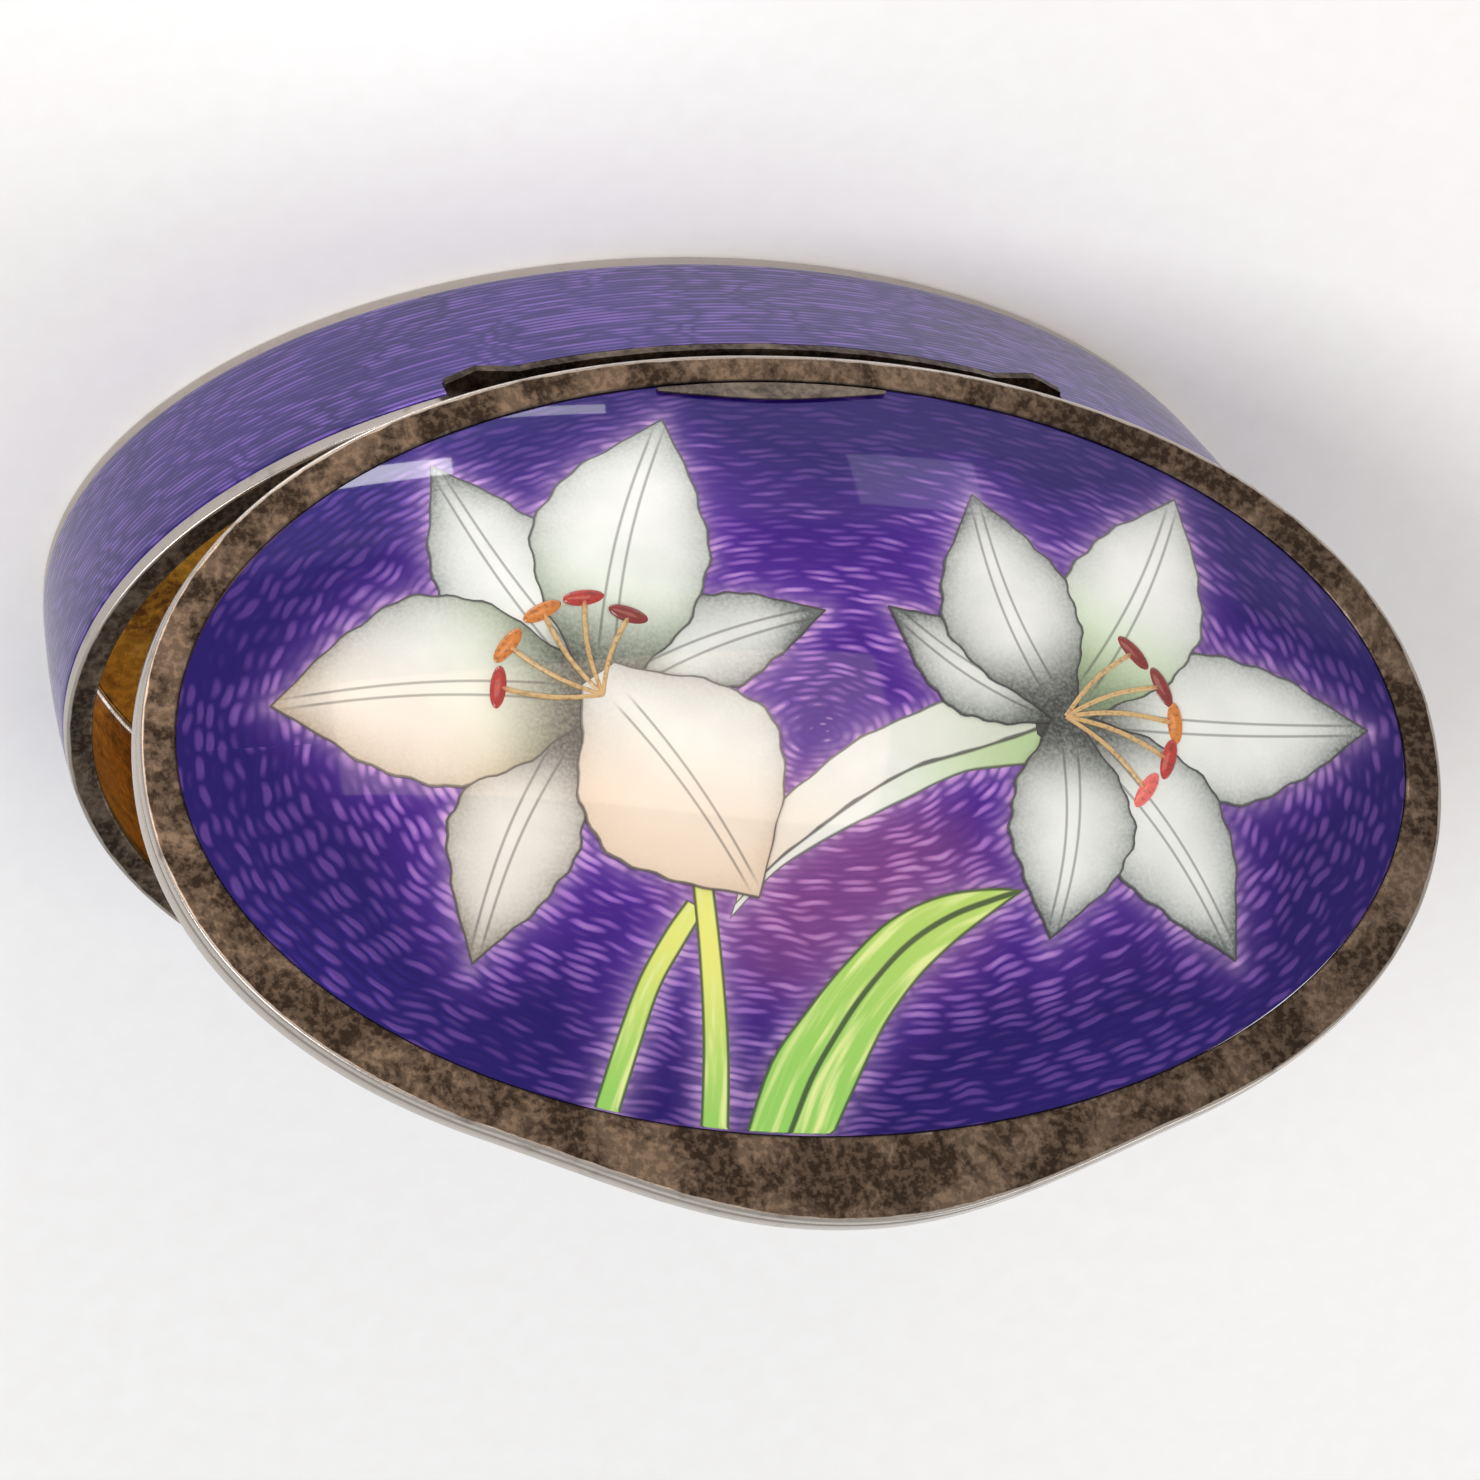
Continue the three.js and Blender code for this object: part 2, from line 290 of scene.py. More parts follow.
def new_group(name, kind, inputs, outputs):
    """A node group with named sockets, the fields it is given, and its output node."""
    tree = bpy.data.node_groups.new(name, kind)
    for socket_name, socket_type, default in inputs:
        socket = tree.interface.new_socket(
            socket_name, in_out="INPUT", socket_type="NodeSocket" + socket_type)
        if default is not None:
            socket.default_value = default
    for socket_name, socket_type in outputs:
        tree.interface.new_socket(
            socket_name, in_out="OUTPUT", socket_type="NodeSocket" + socket_type)
    given = tree.nodes.new("NodeGroupInput")
    return tree, named_fields(tree, given.outputs), tree.nodes.new("NodeGroupOutput")


# ---- Shader groups ----
def engine_turning_group():
    """Rows of short engraved cuts, each row shifted along by its own amount."""
    tree, given, result = new_group("engine_turning", "ShaderNodeTree", [
        ("Row", "Float", 0.0), ("Column", "Float", 0.0), ("Stagger", "Float", 1.0),
        ("Cut Share", "Float", 0.6)], [("Height", "Float"), ("Glint", "Float")])
    row, share = given["Row"], given["Cut Share"]
    row_number = row.maths("FLOOR")
    start = field(tree, "ShaderNodeTexWhiteNoise", {"W": row_number}, output="Value",
                  noise_dimensions="1D")
    column = given["Column"] + start * given["Stagger"]
    across, along = ((value.maths("FRACT") * math.pi).maths("SINE") for value in (row, column))
    cell = joined(tree, row_number, column.maths("FLOOR"), 0.0)
    # A random value for each cut, which the materials use to vary the painted highlights on the
    # cuts.
    glint = field(tree, "ShaderNodeTexWhiteNoise", {"Vector": cell}, output="Value",
                  noise_dimensions="2D")
    wire(tree, result, {"Height": across * (along * share + (1.0 - share)), "Glint": glint})


def tarnish_group():
    """Blotches and specks of tarnish, and the fine scratches of handling."""
    tree, given, result = new_group("tarnish", "ShaderNodeTree", [
        ("Position", "Vector", None), ("Blotches Per Metre", "Float", 420.0),
        ("Specks Per Metre", "Float", 3400.0), ("Thin Share", "Float", 0.5)],
        [("Thin", "Float"), ("Speck", "Float"), ("Height", "Float")])
    place = given["Position"]
    blotch = noise(tree, place, given["Blotches Per Metre"], 7.0, Roughness=0.68,
                   Distortion=0.4)
    start = 0.68 - given["Thin Share"] * 0.36
    speck = noise(tree, place, given["Specks Per Metre"], 3.0, Roughness=0.6)
    stretched = field(tree, "ShaderNodeMapping", {
        "Vector": place, "Rotation": Euler((0.3, 0.2, 0.6)),
        "Scale": Vector((9000, 900, 5000))})
    scratch = noise(tree, stretched, 1.0)
    wire(tree, result, {
        "Thin": blotch.smooth(start - 0.09, start + 0.09), "Speck": speck.smooth(0.42, 0.62),
        "Height": speck * 0.5 + scratch * 0.5})


def worn_edge_group():
    """Where an edge is rubbed bright: the wear attribute, broken up by noise."""
    tree, given, result = new_group("worn_edge", "ShaderNodeTree", [
        ("Position", "Vector", None), ("Wear", "Float", 0.0),
        ("Patches Per Metre", "Float", 900.0), ("Breakup", "Float", 0.5)],
        [("Mask", "Float")])
    patch = noise(tree, given["Position"], given["Patches Per Metre"], 4.0)
    worn = given["Wear"] - (0.62 - patch) * given["Breakup"] * 3.0
    wire(tree, result, {"Mask": worn.smooth(0.25, 0.8)})


# ---- Materials ----
def new_material(name):
    material = bpy.data.materials.new(name)
    material.use_nodes = True
    tree = material.node_tree
    tree.nodes.clear()
    shader = node(tree, "ShaderNodeBsdfPrincipled")
    output = node(tree, "ShaderNodeOutputMaterial")
    tree.links.new(shader.outputs[0], output.inputs[0])
    return material, tree, shader


def object_place(tree):
    return field(tree, "ShaderNodeTexCoord", output="Object")


def attribute(tree, name, output="Fac"):
    return field(tree, "ShaderNodeAttribute", output=output, attribute_name=name)


def stroke_fields(tree):
    """Edge distance, share of the length, place across and the three parts of the tone."""
    tone = node(tree, "ShaderNodeSeparateColor", {"Color": attribute(tree, "tone", "Color")})
    return (*(attribute(tree, name) for name in ("edge", "along", "rib")),
            *(Field(tree, output) for output in tone.outputs))


def grouped(tree, name, inputs):
    made = node(tree, "ShaderNodeGroup", node_tree=bpy.data.node_groups[name])
    wire(tree, made, inputs)
    return named_fields(tree, made.outputs)


def bumped(tree, height, depth, strength):
    return field(tree, "ShaderNodeBump", {
        "Height": height, "Distance": depth, "Strength": strength})


def glaze(coat):
    """Shader inputs of clear, well polished glass over the colour."""
    return {"Coat Weight": coat, "Coat Roughness": 0.035, "Coat IOR": 1.5}


def metal_material(name, dark, pale, bright, thin_share, roughness, metallic=0.92):
    """Tarnished metal that is rubbed bright along its edges."""
    _, tree, shader = new_material(name)
    place = object_place(tree)
    tarnish = grouped(tree, "tarnish", {"Position": place, "Thin Share": thin_share})
    mask = grouped(tree, "worn_edge", {
        "Position": place, "Wear": attribute(tree, "wear")})["Mask"]
    thin = (tarnish["Speck"] * 0.42 + tarnish["Thin"] * 0.6).clamped()
    wire(tree, shader, {
        "Base Color": mixed(tree, mask, mixed(tree, thin, dark, pale), bright),
        "Metallic": metallic,
        "Roughness": (mask * -0.12 + (thin * -0.12 + roughness)).clamped(),
        "Normal": bumped(tree, tarnish["Height"], 0.02 * MM, 0.6)})


def lid_enamel_material(finishes):
    """Violet glass over rings of engraved cuts, paler beside the painted flowers, with painted
    highlights and glints on the cuts.
    """
    _, tree, shader = new_material("lid_glass")
    x, y, _ = split(tree, field(tree, "ShaderNodeUVMap", uv_map="UVMap"))
    across, upward = (x - 0.5) * 2.0, (y - 0.5) * 2.0
    radius = (across ** 2.0 + upward ** 2.0).maths("SQRT")
    turn = upward.maths("ARCTAN2", across) / (2 * math.pi)
    row = noise(tree, object_place(tree), 420.0) * 2.6 + radius * 56.0
    cuts = (row.maths("FLOOR") * 1.45 + 4.0).maths("FLOOR")
    turning = grouped(tree, "engine_turning", {
        "Row": row, "Column": turn * cuts, "Cut Share": 0.75})
    gap = attribute(tree, "flower_gap")
    halo, blush = ((gap * fade).maths("EXPONENT") for fade in (-3.6, -0.42))
    light = (blush * 0.7 + 0.22 - radius.smooth(0.5, 1.0) * 0.6).clamped()
    rosy = (across ** 2.0 * 9.0 + (upward + 0.4) ** 2.0 * 7.0).smooth(0.0, 1.0, 0.6, 0.0)
    ground = mixed(tree, light, finishes.deep_violet, finishes.bright_violet)
    ground = mixed(tree, rosy, ground, srgb(142, 78, 134))
    cut = turning["Height"] * (turning["Glint"] + 0.2)
    # Painted highlight: the cuts are coloured paler, most towards the front of the lid and least
    # towards the hinge.
    highlight_reach = upward.smooth(-0.1, 0.8, 1.0, 0.5) * radius.smooth(0.03, 0.16)
    painted_highlight = cut.smooth(0.2, 0.9) * (highlight_reach * (light * 0.9 + 0.22))
    lit = mixed(tree, painted_highlight, ground, mixed(tree, rosy, srgb(164, 112, 212), srgb(202, 138, 184)))
    # Painted glints: the brightest cuts are coloured lilac.
    lit = mixed(tree, cut.smooth(0.85, 1.1) * (light * 0.5), lit, finishes.lilac)
    wire(tree, shader, {
        "Base Color": mixed(tree, halo * (cut * 0.8 + 0.35), lit, finishes.lilac),
        "Metallic": 0.35, "Specular IOR Level": 0.1,
        "Roughness": turning["Height"] * -0.12 + 0.46,
        "Normal": bumped(tree, turning["Height"], 0.035 * MM, 0.4), **glaze(0.6)})


def wall_enamel_material(finishes):
    """Violet glass over fine engraved lines that run level round the wall, with a painted
    highlight on the lines.
    """
    _, tree, shader = new_material("wall_glass")
    place = object_place(tree)
    x, y, z = split(tree, place)
    turn = (y / BODY_HALF_WIDTH).maths("ARCTAN2", x / BODY_HALF_LENGTH) / (2 * math.pi)
    drift = noise(tree, place, 260.0)
    turning = grouped(tree, "engine_turning", {
        "Row": drift * 0.7 + z * (1 / WALL_LINE_PITCH),
        "Column": drift * 5.0 + turn * 80.0, "Cut Share": 0.6})
    cloud = noise(tree, place, 170.0, 3.0).smooth(0.3, 0.7)
    ground = mixed(tree, cloud, finishes.deep_violet, finishes.wall_violet)
    # Painted highlight: the engraved lines are coloured paler, more so on the cuts with a high
    # glint value.
    cut = turning["Height"] * (turning["Glint"] * 0.6 + 0.4)
    lit = mixed(tree, cut.smooth(0.25, 0.9) * 0.75, ground, srgb(124, 88, 188))
    wire(tree, shader, {
        "Base Color": lit, "Metallic": 0.45, "Specular IOR Level": 0.25,
        "Roughness": turning["Height"] * -0.1 + 0.46,
        "Normal": bumped(tree, turning["Height"], 0.03 * MM, 0.4), **glaze(0.6)})


def petal_material(finishes):
    """White paint with stippled grey shade, veins down the middle, a fine dark outline and a
    painted warm reflection.
    """
    _, tree, shader = new_material("petal_paint")
    place = object_place(tree)
    edge, along, rib, warm_reflection, green, shade = stroke_fields(tree)
    stipple, cloud = noise(tree, place, 7500.0), noise(tree, place, 420.0)
    fine = stipple * 0.7 + 0.6
    rolled = (edge * -1.0).maths("EXPONENT") + along.smooth(0.72, 1.0, 0.0, 0.4)
    dark = ((cloud - 0.5) * 0.3 + rolled * shade * fine).clamped()
    colour = mixed(tree, dark, finishes.petal_white, finishes.petal_grey)
    leafy = along.smooth(0.12, 0.62, 1.0, 0.0) * green
    colour = mixed(tree, leafy, colour, srgb(182, 212, 150))
    # Painted reflection: a warm peach tint that grows towards the lower left of the panel, by the
    # first part of each stroke's tone.
    x, y, _ = split(tree, attribute(tree, "spot", "Vector"))
    reflection_side = (x * -0.35 - y).smooth(0.5, 6.5, 0.1, 1.0)
    colour = mixed(tree, warm_reflection * reflection_side, colour, srgb(238, 202, 164))
    depth = (shade * 1.6).clamped() * attribute(tree, "tone", "Alpha")
    throat = (along.smooth(0.05, 0.4, 1.0, 0.0) * (depth * fine)).clamped()
    colour = mixed(tree, throat, colour, srgb(52, 56, 52))
    side = abs(abs(rib) - (along * -0.14 + 0.32))
    drawn = along.smooth(0.1, 0.2) * along.smooth(0.86, 0.98, 1.0, 0.0)
    vein = side.line(0.02, 0.06) * (drawn * shade.smooth(0.15, 0.3, 0.0, 0.55))
    ink = vein.maths("MAXIMUM", edge.line(0.05, 0.09) * 0.85)
    wire(tree, shader, {
        "Base Color": mixed(tree, ink, colour, srgb(44, 40, 44)), "Roughness": 0.45,
        "Normal": bumped(tree, stipple, 0.004 * MM, 0.3), **glaze(0.8)})


def leaf_material():
    """Green paint that turns yellow towards the flower, with long dark strokes."""
    _, tree, shader = new_material("leaf_paint")
    edge, along, rib, yellow, _, stroke = stroke_fields(tree)
    ripe = along.smooth(0.0, 0.8) * yellow
    colour = mixed(tree, ripe, srgb(140, 200, 84), srgb(228, 228, 116))
    grain = noise(tree, joined(tree, rib * 2.6, along * 3.0, 0.0), 1.0)
    colour = mixed(tree, grain.smooth(0.45, 0.7), colour, srgb(222, 234, 150))
    middle = abs(rib).line(0.06, 0.1) * stroke
    ink = middle.maths("MAXIMUM", edge.line(0.06, 0.09) * 0.9)
    wire(tree, shader, {
        "Base Color": mixed(tree, ink, colour, srgb(26, 52, 20)), "Roughness": 0.4,
        **glaze(0.8)})


def stamen_material():
    """Paint in the colour that each filament or anther carries, with fine mottling."""
    _, tree, shader = new_material("stamen_paint")
    mottle = noise(tree, object_place(tree), 6000.0).smooth(0.45, 0.75, 0.0, 0.5)
    wire(tree, shader, {
        "Base Color": mixed(tree, mottle, attribute(tree, "paint", "Color"), srgb(70, 24, 20)),
        "Roughness": 0.4, **glaze(0.7)})


def make_materials():
    """Every shader group, then every material, once."""
    finishes = bpy.context.scene.pill_box_finishes
    dark, pale, bright = finishes.dark_patina, finishes.pale_patina, finishes.bright_silver
    engine_turning_group()
    tarnish_group()
    worn_edge_group()
    metal_material("tarnished_silver", dark, pale, bright, 0.42, 0.46)
    metal_material("worn_silver", srgb(120, 110, 102), srgb(196, 186, 176), bright, 0.7, 0.36)
    metal_material("gilt_wash", srgb(96, 58, 24), finishes.gilt, srgb(230, 190, 110),
                   0.62, 0.42)
    metal_material("bared_edge", dark, pale, bright, 0.5, 0.5, metallic=0.1)
    lid_enamel_material(finishes)
    wall_enamel_material(finishes)
    petal_material(finishes)
    leaf_material()
    stamen_material()


# ---- Geometry Nodes: a section carried round an oval ----
def oval_outline(cosine, sine, half_length, half_width, centre_y, power):
    """Point of a full oval, from the cosine and sine of its turn."""
    def reach(value, half):
        return value.maths("SIGN") * abs(value) ** power * half

    return reach(cosine, half_length), reach(sine, half_width) + centre_y


def oval_ring_tree():
    """Carries a section round an oval.

    Each point of the section holds its inset from the outline in X, its share of the way from
    the outer outline to the inner one in Y, and its height in Z.
    """
    tree, given, result = new_group("oval_ring", "GeometryNodeTree", [
        ("Section", "Geometry", None), ("Steps", "Int", 96), ("Closed Section", "Bool", True),
        ("Outer Half Length", "Float", 0.02), ("Outer Half Width", "Float", 0.01),
        ("Outer Centre Y", "Float", 0.0), ("Fullness", "Float", 2.0),
        ("Lip Reach", "Float", 0.0), ("Lip Spread", "Float", 0.5),
        ("Lip Offset", "Float", 0.0), ("Inner Half Length", "Float", 0.0),
        ("Inner Half Width", "Float", 0.0), ("Inner Centre Y", "Float", 0.0),
        ("Cut Low", "Vector", None), ("Cut High", "Vector", None), ("Cut", "Bool", False),
        ("Crease Angle", "Float", math.radians(28)), ("Material", "Material", None),
    ], [("Geometry", "Geometry")])
    half_length, half_width = given["Outer Half Length"], given["Outer Half Width"]
    centre_y, steps = given["Outer Centre Y"], given["Steps"]
    count = field(tree, "GeometryNodeAttributeDomainSize", {0: given["Section"]},
                  output="Point Count", component="MESH")
    rows = count + given["Closed Section"]
    width = rows - 1.0
    grid = field(tree, "GeometryNodeMeshGrid", {
        "Vertices X": rows, "Vertices Y": steps + 1.0, "Size X": width, "Size Y": steps},
        output="Mesh")
    position = field(tree, "GeometryNodeInputPosition")
    grid_x, grid_y, _ = split(tree, position)
    row = (width * 0.5 + grid_x).maths("ROUND")
    turn = (steps * 0.5 + grid_y).maths("ROUND") / steps * (2 * math.pi)
    index = row.maths("FLOORED_MODULO", count)

    def sampled(data_type, value):
        return field(tree, "GeometryNodeSampleIndex", {
            "Geometry": given["Section"], "Value": value, "Index": index},
            data_type=data_type, domain="POINT")

    def stored(geometry, name, value, data_type, domain):
        return field(tree, "GeometryNodeStoreNamedAttribute", {
            "Geometry": geometry, "Name": name, "Value": value},
            data_type=data_type, domain=domain)

    inset, share, height = split(tree, sampled("FLOAT_VECTOR", position))
    wear = sampled("FLOAT", field(tree, "GeometryNodeInputNamedAttribute", {"Name": "wear"},
                                  data_type="FLOAT"))
    cosine, sine = turn.maths("COSINE"), turn.maths("SINE")
    outer_x, outer_y = oval_outline(
        cosine, sine, half_length - inset, half_width - inset, centre_y,
        2.0 / given["Fullness"])
    inner_x, inner_y = oval_outline(
        cosine, sine, given["Inner Half Length"] + inset, given["Inner Half Width"] + inset,
        given["Inner Centre Y"], 1.0)
    peak = given["Lip Offset"] / half_length + 1.5 * math.pi
    from_peak = (abs(turn - peak) / given["Lip Spread"]).maths("MINIMUM", 1.0)
    swell = (from_peak * math.pi).maths("COSINE") * 0.5 + 0.5

    def between(outer, inner):
        return outer * (1.0 - share) + inner * share

    x = between(outer_x, inner_x)
    y = between(outer_y - swell * given["Lip Reach"], inner_y)
    flat = joined(tree, x / half_length * 0.5 + 0.5, (y - centre_y) / half_width * 0.5 + 0.5, 0.0)
    # The attributes are worked out from the flat grid, so they are stored before it is bent.
    worn = stored(grid, "wear", wear, "FLOAT", "POINT")
    mapped = stored(worn, "UVMap", flat, "FLOAT2", "CORNER")
    bent = field(tree, "GeometryNodeSetPosition", {
        "Geometry": mapped, "Position": joined(tree, x, y, height)})
    sealed = field(tree, "GeometryNodeMergeByDistance", {"Geometry": bent, "Distance": 1e-7})

    def vector(operation, inputs):
        return field(tree, "ShaderNodeVectorMath", inputs, operation=operation)

    low, high = given["Cut Low"], given["Cut High"]
    block = field(tree, "GeometryNodeMeshCube", {
        "Size": vector("SUBTRACT", {0: high, 1: low})}, output="Mesh")
    centre = vector("SCALE", {0: vector("ADD", {0: low, 1: high}), "Scale": 0.5})
    moved = field(tree, "GeometryNodeTransform", {"Geometry": block, "Translation": centre})
    cutting = field(tree, "GeometryNodeMeshBoolean", {"Mesh 1": sealed, "Mesh 2": moved},
                    output="Mesh", operation="DIFFERENCE")
    chosen = field(tree, "GeometryNodeSwitch", {
        "Switch": given["Cut"], "False": sealed, "True": cutting}, input_type="GEOMETRY")
    wire(tree, result, {0: shaded_and_set(tree, chosen, given)})


def above(tree, value, limit):
    return field(tree, "FunctionNodeCompare", {"A": value, "B": limit}, data_type="FLOAT",
                 operation="GREATER_THAN")


def shaded_and_set(tree, geometry, given):
    """Smooth shading with sharp creases, instances made real, and the material set."""
    real = field(tree, "GeometryNodeRealizeInstances", {"Geometry": geometry})
    soft = field(tree, "GeometryNodeSetShadeSmooth", {
        "Geometry": real, "Shade Smooth": True}, domain="FACE")
    angle = field(tree, "GeometryNodeInputMeshEdgeAngle", output="Unsigned Angle")
    creased = field(tree, "GeometryNodeSetShadeSmooth", {
        "Geometry": soft, "Selection": above(tree, angle, given["Crease Angle"]),
        "Shade Smooth": False}, domain="EDGE")
    return field(tree, "GeometryNodeSetMaterial", {
        "Geometry": creased, "Material": given["Material"]})


def stamens_tree():
    """Fine filaments along the lines given, with an anther lying on each marked point."""
    tree, given, result = new_group("stamens", "GeometryNodeTree", [
        ("Lines", "Geometry", None), ("Filament Radius", "Float", 0.0001),
        ("Anther Size", "Vector", None), ("Crease Angle", "Float", math.radians(60)),
        ("Material", "Material", None)], [("Geometry", "Geometry")])

    def named(name, data_type):
        return field(tree, "GeometryNodeInputNamedAttribute", {"Name": name},
                     data_type=data_type)

    curve = field(tree, "GeometryNodeMeshToCurve", {"Mesh": given["Lines"]})
    circle = field(tree, "GeometryNodeCurvePrimitiveCircle", {
        "Resolution": 8, "Radius": given["Filament Radius"]})
    threads = field(tree, "GeometryNodeCurveToMesh", {
        "Curve": curve, "Profile Curve": circle, "Fill Caps": True})
    ball = field(tree, "GeometryNodeMeshUVSphere", {
        "Segments": 20, "Rings": 10, "Radius": 0.5}, output="Mesh")
    lying = field(tree, "GeometryNodeInstanceOnPoints", {
        "Points": given["Lines"], "Selection": above(tree, named("anther", "FLOAT"), 0.5),
        "Instance": ball, "Scale": given["Anther Size"]})
    turned = field(tree, "GeometryNodeRotateInstances", {
        "Instances": lying, "Rotation": named("turn", "FLOAT_VECTOR")})
    both = node(tree, "GeometryNodeJoinGeometry")
    for part in (turned, threads):
        wire(tree, both, {0: part})
    wire(tree, result, {0: shaded_and_set(tree, Field(tree, both.outputs[0]), given)})


# ---- Making pieces ----
def new_object(name, data):
    made = bpy.data.objects.new(name, data)
    bpy.context.scene.collection.objects.link(made)
    return made


def grown(name, mesh, tree_name, values):
    """An object whose plain mesh is what a node tree makes of a base mesh."""
    piece = new_object(name, mesh)
    tree = bpy.data.node_groups[tree_name]
    modifier = piece.modifiers.new("grow", "NODES")
    modifier.node_group = tree
    identifiers = {item.name: item.identifier for item in tree.interface.items_tree
                   if item.item_type == "SOCKET" and item.in_out == "INPUT"}
    for key, value in values.items():
        modifier[identifiers[key]] = value
    bpy.context.view_layer.update()
    depsgraph = bpy.context.evaluated_depsgraph_get()
    result = bpy.data.meshes.new_from_object(piece.evaluated_get(depsgraph))
    piece.modifiers.clear()
    piece.data = result
    result.name = name
    bpy.data.meshes.remove(mesh)
    if not result.polygons:
        raise RuntimeError(f"{name}: its node tree made no faces")
    return piece


def section_mesh(points):
    """Edges through section points of inset, share, height and wear."""
    mesh = bpy.data.meshes.new("section")
    links = [(index, index + 1) for index in range(len(points) - 1)]
    mesh.from_pydata([point[:3] for point in points], links, [])
    wear = mesh.attributes.new("wear", "FLOAT", "POINT")
    wear.data.foreach_set("value", [point[3] for point in points])
    return mesh


def bar_section(low, high, radius, outer=0.0, inner=0.0, inner_share=0.0, inner_wear=0.3,
                steps=4):
    """A bar with four rounded corners, from its outer top corner down and round.

    The inner side is an inset from the outer outline, or from the inner one if its share is 1.
    Wear is full on the outer corners, less on the inner ones, and fades out on the flats.
    """
    towards = 1 if inner_share else -1
    sides = ((outer, 0.0, 1, high, -1, False, 1.0), (outer, 0.0, 1, low, 1, True, 1.0),
             (inner, inner_share, towards, low, 1, False, inner_wear),
             (inner, inner_share, towards, high, -1, True, inner_wear))
    points = []
    for inset, share, inward, height, upward, from_side, wear in sides:
        flat = (inset + inward * 2.2 * radius, share, height, 0.0)
        if not from_side:
            points.append(flat)
        for step in range(steps + 1):
            angle = math.pi / 2 * step / steps
            near, far = (math.cos(angle), math.sin(angle)) if from_side else (
                math.sin(angle), math.cos(angle))
            points.append((inset + inward * radius * (1 - near), share,
                           height + upward * radius * (1 - far), wear))
        if from_side:
            points.append(flat)
    return points


def ring_cut(half, low):
    """Inputs that cut a ring away behind the middle, above a height."""
    far = 2 * BODY_HALF_LENGTH
    return {"Cut": True, "Cut Low": (-half, 0.0, low), "Cut High": (half, far, far)}


def settle(piece, body, slot, *nodes):
    """Turns a lid piece open, then puts the piece under the body it rides on and hides the nodes
    it stands for.
    """
    if body == "lid":
        piece.data.transform(OPENING)
    piece.data.update()
    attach(piece, body)
    if nodes:
        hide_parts(*nodes)
    return piece


def oval_ring(name, section, material, values, closed=True):
    sizes = bpy.context.scene.pill_box_sizes
    settings = {
        "Steps": sizes.oval_steps, "Closed Section": closed,
        "Outer Half Length": BODY_HALF_LENGTH, "Outer Half Width": BODY_HALF_WIDTH,
        "Material": bpy.data.materials[material], **values}
    return grown(name, section_mesh(section), "oval_ring", settings)


def recess_cut():
    """Cut-out in the back of the wall and the rim, where the bearer and the hinge go."""
    return ring_cut(BEARER_HIGH.x + SEAM, BEARER_LOW.z - SEAM)


def wall_inset(sizes, height):
    depth = (BODY_HEIGHT - height) / BODY_HEIGHT
    return sizes.foot_inset * depth ** sizes.wall_curve


def wall_section(sizes, outer, inner, low, high, radius, steps=14):
    """The curved wall, with its outer top and bottom edges rounded over."""
    heights = [high - (high - low) * step / steps for step in range(steps + 1)]
    if radius:
        for share in (0.1, 0.3, 0.6, 1.0):
            heights += [high - share * radius, low + share * radius]
    points = []
    for height in sorted(heights, reverse=True):
        from_end = min(high - height, height - low)
        fall = max(0.0, 1 - from_end / radius) if radius else 0.0
        rounding = radius * (1 - math.sqrt(1 - fall ** 2))
        points.append((outer + wall_inset(sizes, height) + rounding, 0.0, height, 0.0))
    for step in range(steps + 1):
        height = low + (high - low) * step / steps
        points.append((inner + wall_inset(sizes, height), 0.0, height, 0.0))
    return points


def lid_outline(sizes):
    """The oval of the lid with its thumb lip, as inputs of the ring tree."""
    return {
        "Outer Half Length": LID_HALF_LENGTH,
        "Outer Half Width": FRAME_HIGH.y + sizes.lid_forward,
        "Outer Centre Y": -sizes.lid_forward, "Fullness": sizes.lid_fullness,
        "Lip Reach": sizes.lip_reach, "Lip Spread": sizes.lip_spread,
        "Lip Offset": sizes.lip_offset}


def panel_outline():
    return {"Outer Half Length": PANEL_HALF_LENGTH, "Outer Half Width": PANEL_HALF_WIDTH,
            "Outer Centre Y": PANEL_Y, "Inner Centre Y": PANEL_Y}


def dome_section(low_edge, low_rise, high_edge, high_rise, power, steps=40):
    """A domed sheet from the middle of its top out to the edge and back underneath."""
    shares = [math.sin(math.pi / 2 * step / steps) for step in range(steps + 1)]
    top = [(0.0, 1 - r, high_edge + high_rise * (1 - r ** power), 0.0) for r in shares]
    below = [(0.0, 1 - r, low_edge + low_rise * (1 - r ** power), 0.0) for r in reversed(shares)]
    return top + below


def dome_height(sizes, x, y):
    """Height of the closed lid's enamel above the table, at a place on the panel."""
    radius = min(1.0, math.hypot(x / PANEL_HALF_LENGTH, y / PANEL_HALF_WIDTH))
    edge = PANEL_LOW.z + sizes.enamel_edge
    return edge + (PANEL_HIGH.z - edge) * (1 - radius ** sizes.dome_power)


# ---- The painting: petals, stems and a leaf ----
class Stroke(NamedTuple):
    """One petal, stem or leaf: millimetres from the middle of the panel, +Y to the hinge.

    Its two edges run smoothly through a few even stations, from the base to the tip.
    """
    name: str
    left: tuple
    right: tuple
    # The first part of a petal's tone is how much painted warm reflection it carries.
    tone: tuple  # petals: warm, green, shade; leaves: yellow, unused, middle line
    blunt: bool = False
    kind: str = "petal_paint"
    throat: float = 1.0  # depth of the shade at the base


# Half width of a petal at even steps from its base to its tip, as a share of the widest.
PETAL_PROFILE = (0.2, 0.46, 0.76, 0.95, 1.0, 0.9, 0.66, 0.34, 0.0)


def petal(name, base, tip, half_width, bend, tone, throat=1.0):
    """A lily petal on a bent middle line; its outline is the same for every petal."""
    start, end = Vector(base), Vector(tip)
    side = Vector((start.y - end.y, end.x - start.x)).normalized()
    left, right = [], []
    for index, fullness in enumerate(PETAL_PROFILE):
        share = index / (len(PETAL_PROFILE) - 1)
        middle = start.lerp(end, share) + side * (bend * math.sin(math.pi * share))
        left.append(middle + side * (half_width * fullness))
        right.append(middle - side * (half_width * fullness))
    return Stroke(name, tuple(left), tuple(right), tone, throat=throat)


